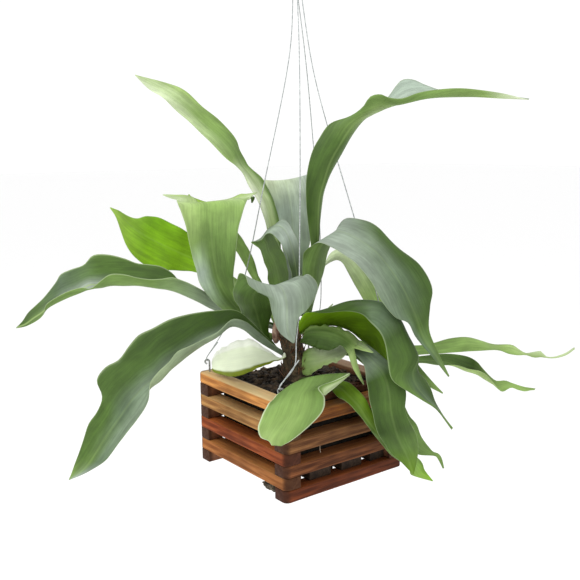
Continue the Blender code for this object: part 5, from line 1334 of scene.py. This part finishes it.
def bark_block():
    """The block of medium with a rough top and sides."""
    low, high = (Vector(corner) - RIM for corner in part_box("bark_medium"))
    reach = high.x
    bm = bmesh.new()
    cells = MEDIUM_FINE
    line = np.linspace(-reach, reach, cells + 1)
    outline = [(x, -reach) for x in line[:-1]] + [(reach, y) for y in line[:-1]]
    outline += [(x, reach) for x in line[:0:-1]] + [(-reach, y) for y in line[:0:-1]]
    walls = []
    for level in range(MEDIUM_LEVELS + 1):
        z = low.z + (MEDIUM_LEVEL - low.z) * level / MEDIUM_LEVELS
        row = []
        for x, y in outline:
            pull = 1 - MEDIUM_PULL * min(1.0, max(0.0, 0.5 + 0.5 * rough(x, y, z, 95, 3)))
            height = medium_top(x, y, reach) if level == MEDIUM_LEVELS else z
            row.append(bm.verts.new((x * pull, y * pull, height)))
        walls.append(row)
    join_rings(bm, walls)
    grid = {}
    for (x, y), corner in zip(outline, walls[-1]):
        place = tuple(round((value + reach) / (2 * reach) * cells) for value in (x, y))
        grid[place] = corner
    for i in range(1, cells):
        for j in range(1, cells):
            grid[(i, j)] = bm.verts.new((line[i], line[j], medium_top(line[i], line[j], reach)))
    for i in range(cells):
        for j in range(cells):
            bm.faces.new((grid[(i, j)], grid[(i + 1, j)], grid[(i + 1, j + 1)], grid[(i, j + 1)]))
    bm.faces.new(walls[0])
    bmesh.ops.recalc_face_normals(bm, faces=bm.faces)
    return finished(bm, "bark_block", smooth=False)


def sagged_roots():
    """Root and fine bark that have sunk between the floor slats."""
    floors = sorted((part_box(node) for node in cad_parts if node.startswith("floor_slat_")),
                    key=lambda box: box[0][0])
    inner = BASKET_HALF - SLAT_WIDTH - SUNK_EDGE
    starts = [-inner] + [high[0] + SUNK_GAP for low, high in floors[:-1]]
    stops = [low[0] - SUNK_GAP for low, high in floors]
    top = floors[0][1][2] + SUNK_TOP
    columns, rows = SUNK_GRID
    bm = bmesh.new()
    for start, stop in zip(starts, stops):
        grid = []
        for row in range(rows + 1):
            y = -inner + 2 * inner * row / rows
            line = []
            for column in range(columns + 1):
                x = start + (stop - start) * column / columns
                sag = SUNK_ROUGH * rough(x, y, 0.7, 110, 4)
                line.append(bm.verts.new((x, y, top - SUNK_DEPTH - sag)))
            grid.append(line)
        for near, far in zip(grid[:-1], grid[1:]):
            for column in range(columns):
                bm.faces.new((near[column], near[column + 1], far[column + 1], far[column]))
    rim_edges = [edge for edge in bm.edges if edge.is_boundary]
    raised = bmesh.ops.extrude_edge_only(bm, edges=rim_edges)["geom"]
    for vertex in (item for item in raised if isinstance(item, bmesh.types.BMVert)):
        vertex.co.z = top
    bmesh.ops.holes_fill(bm, edges=[edge for edge in bm.edges if edge.is_boundary], sides=0)
    bmesh.ops.recalc_face_normals(bm, faces=bm.faces)
    return finished(bm, "sagged_roots", smooth=False)


def bark_chips():
    """Loose chips of bark on top of the medium."""
    draw = random.Random(4)
    bm = bmesh.new()
    reach = BASKET_HALF - SLAT_WIDTH - CHIP_EDGE
    foot = (RHIZOME[1][1] * MILLIMETRE, RHIZOME[1][2] * MILLIMETRE)
    for _ in range(CHIP_COUNT):
        x, y = draw.uniform(-reach, reach), draw.uniform(-reach, reach)
        if math.hypot(x - foot[0], y - foot[1]) < CHIP_CLEAR:
            continue
        mound = MEDIUM_MOUND * max(0.0, 1 - math.hypot(x, y) / CHIP_MOUND_REACH)
        size = Vector([draw.uniform(*limits) for limits in CHIP_SIZES])
        turn = Matrix.Identity(3)
        for lowest, highest, axis in CHIP_TURNS:
            turn = turn @ Matrix.Rotation(draw.uniform(lowest, highest), 3, axis)
        middle = Vector((x, y, MEDIUM_LEVEL + mound + CHIP_LIFT))
        made = bmesh.ops.create_icosphere(bm, subdivisions=1, radius=1.0)["verts"]
        for vertex in made:
            jag = 1 + draw.uniform(-0.25, 0.25)
            corner = Vector([value * half for value, half in zip(vertex.co, size)])
            vertex.co = middle + turn @ corner * jag
    return finished(bm, "bark_chips", smooth=False)


def bud_shape():
    """The pointed bud with its wrapped, ridged skin."""
    bm = bmesh.new()
    bmesh.ops.create_uvsphere(bm, u_segments=36, v_segments=28, radius=1.0)
    for vertex in bm.verts:
        angle = math.atan2(vertex.co.y, vertex.co.x)
        taper = 1 - 0.45 * (vertex.co.z + 1) / 2
        ridge = 1 + 0.07 * math.sin(5 * angle + 3 * vertex.co.z)
        vertex.co.x *= BUD_RADIUS * taper * ridge
        vertex.co.y *= BUD_RADIUS * taper * ridge
        vertex.co.z *= BUD_HEIGHT / 2
        vertex.co += Vector(BUD_PLACE) * MILLIMETRE
    return finished(bm, "downy_bud")


def scrap_shape():
    """The lump of moss and root, with a rough surface."""
    bm = bmesh.new()
    bmesh.ops.create_icosphere(bm, subdivisions=5, radius=1.0)
    for vertex in bm.verts:
        swell = 0.86 + 0.34 * noise.fractal(vertex.co * 2.6 + Vector((3, 1, 2)), 1.0, 2.0, 5)
        corner = Vector([value * half for value, half in zip(vertex.co, SCRAP_HALF)])
        vertex.co = corner * swell + Vector(SCRAP_PLACE)
    return finished(bm, "rough_scrap")


def build_growth():
    """Rhizome, chaff, bud, medium, chips, sunk root, scrap and the pale root."""
    pale_root = tube("pale_root", fine_path(PALE_ROOT, PALE_ROOT_POINTS), PALE_ROOT_RADIUS, 3)
    growths = (("scaly_rhizome", stump_mesh(), "rhizome_bark", "rhizome", None),
               ("rhizome_scales", chaff_mesh(), "papery_chaff", None, "rhizome"),
               ("downy_bud", bud_shape(), "bud_skin", "bud", None),
               ("bark_block", bark_block(), "potting_bark", "bark_medium", None),
               ("bark_chips", bark_chips(), "bark_chip", None, "bark_medium"),
               ("sagged_roots", sagged_roots(), "sunk_roots", None, "bark_medium"),
               ("rough_scrap", scrap_shape(), "moss_and_root", "moss_scrap", None),
               ("pale_root", pale_root, "pale_root", None, "bark_medium"))
    for name, mesh, matter, node, beside in growths:
        # The sunk root takes its places from the floor slats, so it is not in the rim frame
        in_rim_frame = name != "sagged_roots"
        show(name, mesh, plain_material(matter, *MATTER[matter]), node, in_rim_frame)


def build_light():
    """Plain soft studio light, a pale floor and a white surround."""
    world = bpy.data.worlds.new("surround")
    bpy.context.scene.world = world
    world.use_nodes = True
    world.node_tree.nodes["Background"].inputs["Color"].default_value = (1.0, 1.0, 1.0, 1.0)
    world.node_tree.nodes["Background"].inputs["Strength"].default_value = SURROUND
    for name, place, size, power in LIGHTS:
        light = bpy.data.lights.new(name, "AREA")
        light.shape = "DISK"
        light.size = size
        light.energy = power
        lamp = bpy.data.objects.new(name, light)
        bpy.context.scene.collection.objects.link(lamp)
        lamp.location = place
        lamp.rotation_euler = (LIGHT_AIM - Vector(place)).to_track_quat("-Z", "Y").to_euler()
    bm = bmesh.new()
    bmesh.ops.create_grid(bm, x_segments=1, y_segments=1, size=FLOOR_HALF)
    mesh = finished(bm, "studio_floor", smooth=False)
    floor = bpy.data.objects.new("studio_floor", mesh)
    bpy.context.scene.collection.objects.link(floor)
    floor.location = (0.0, 0.0, FLOOR_Z)
    make = Nodes("pale_floor")
    make.shader.inputs["Base Color"].default_value = (0.93, 0.93, 0.93, 1.0)
    make.shader.inputs["Roughness"].default_value = 0.9
    mesh.materials.append(make.material)


def build_camera():
    """The camera, a little above the rim and looking slightly down at the basket's front corner."""
    data = bpy.data.cameras.new("camera")
    data.lens = LENS
    data.sensor_width = SENSOR
    camera = bpy.data.objects.new("camera", data)
    bpy.context.scene.collection.objects.link(camera)
    turn = Matrix.Identity(4)
    for degrees, axis in ((CAMERA_TURN, "Z"), (90 - CAMERA_DROP, "X"), (CAMERA_ROLL, "Z")):
        turn = turn @ Matrix.Rotation(math.radians(degrees), 4, axis)
    camera.matrix_world = Matrix.Translation(CAMERA_PLACE) @ turn
    bpy.context.scene.camera = camera


build_camera()
build_fronds()
build_slats()
build_metal()
build_growth()
build_light()
bpy.context.scene.view_settings.view_transform = "Standard"
bpy.context.view_layer.update()
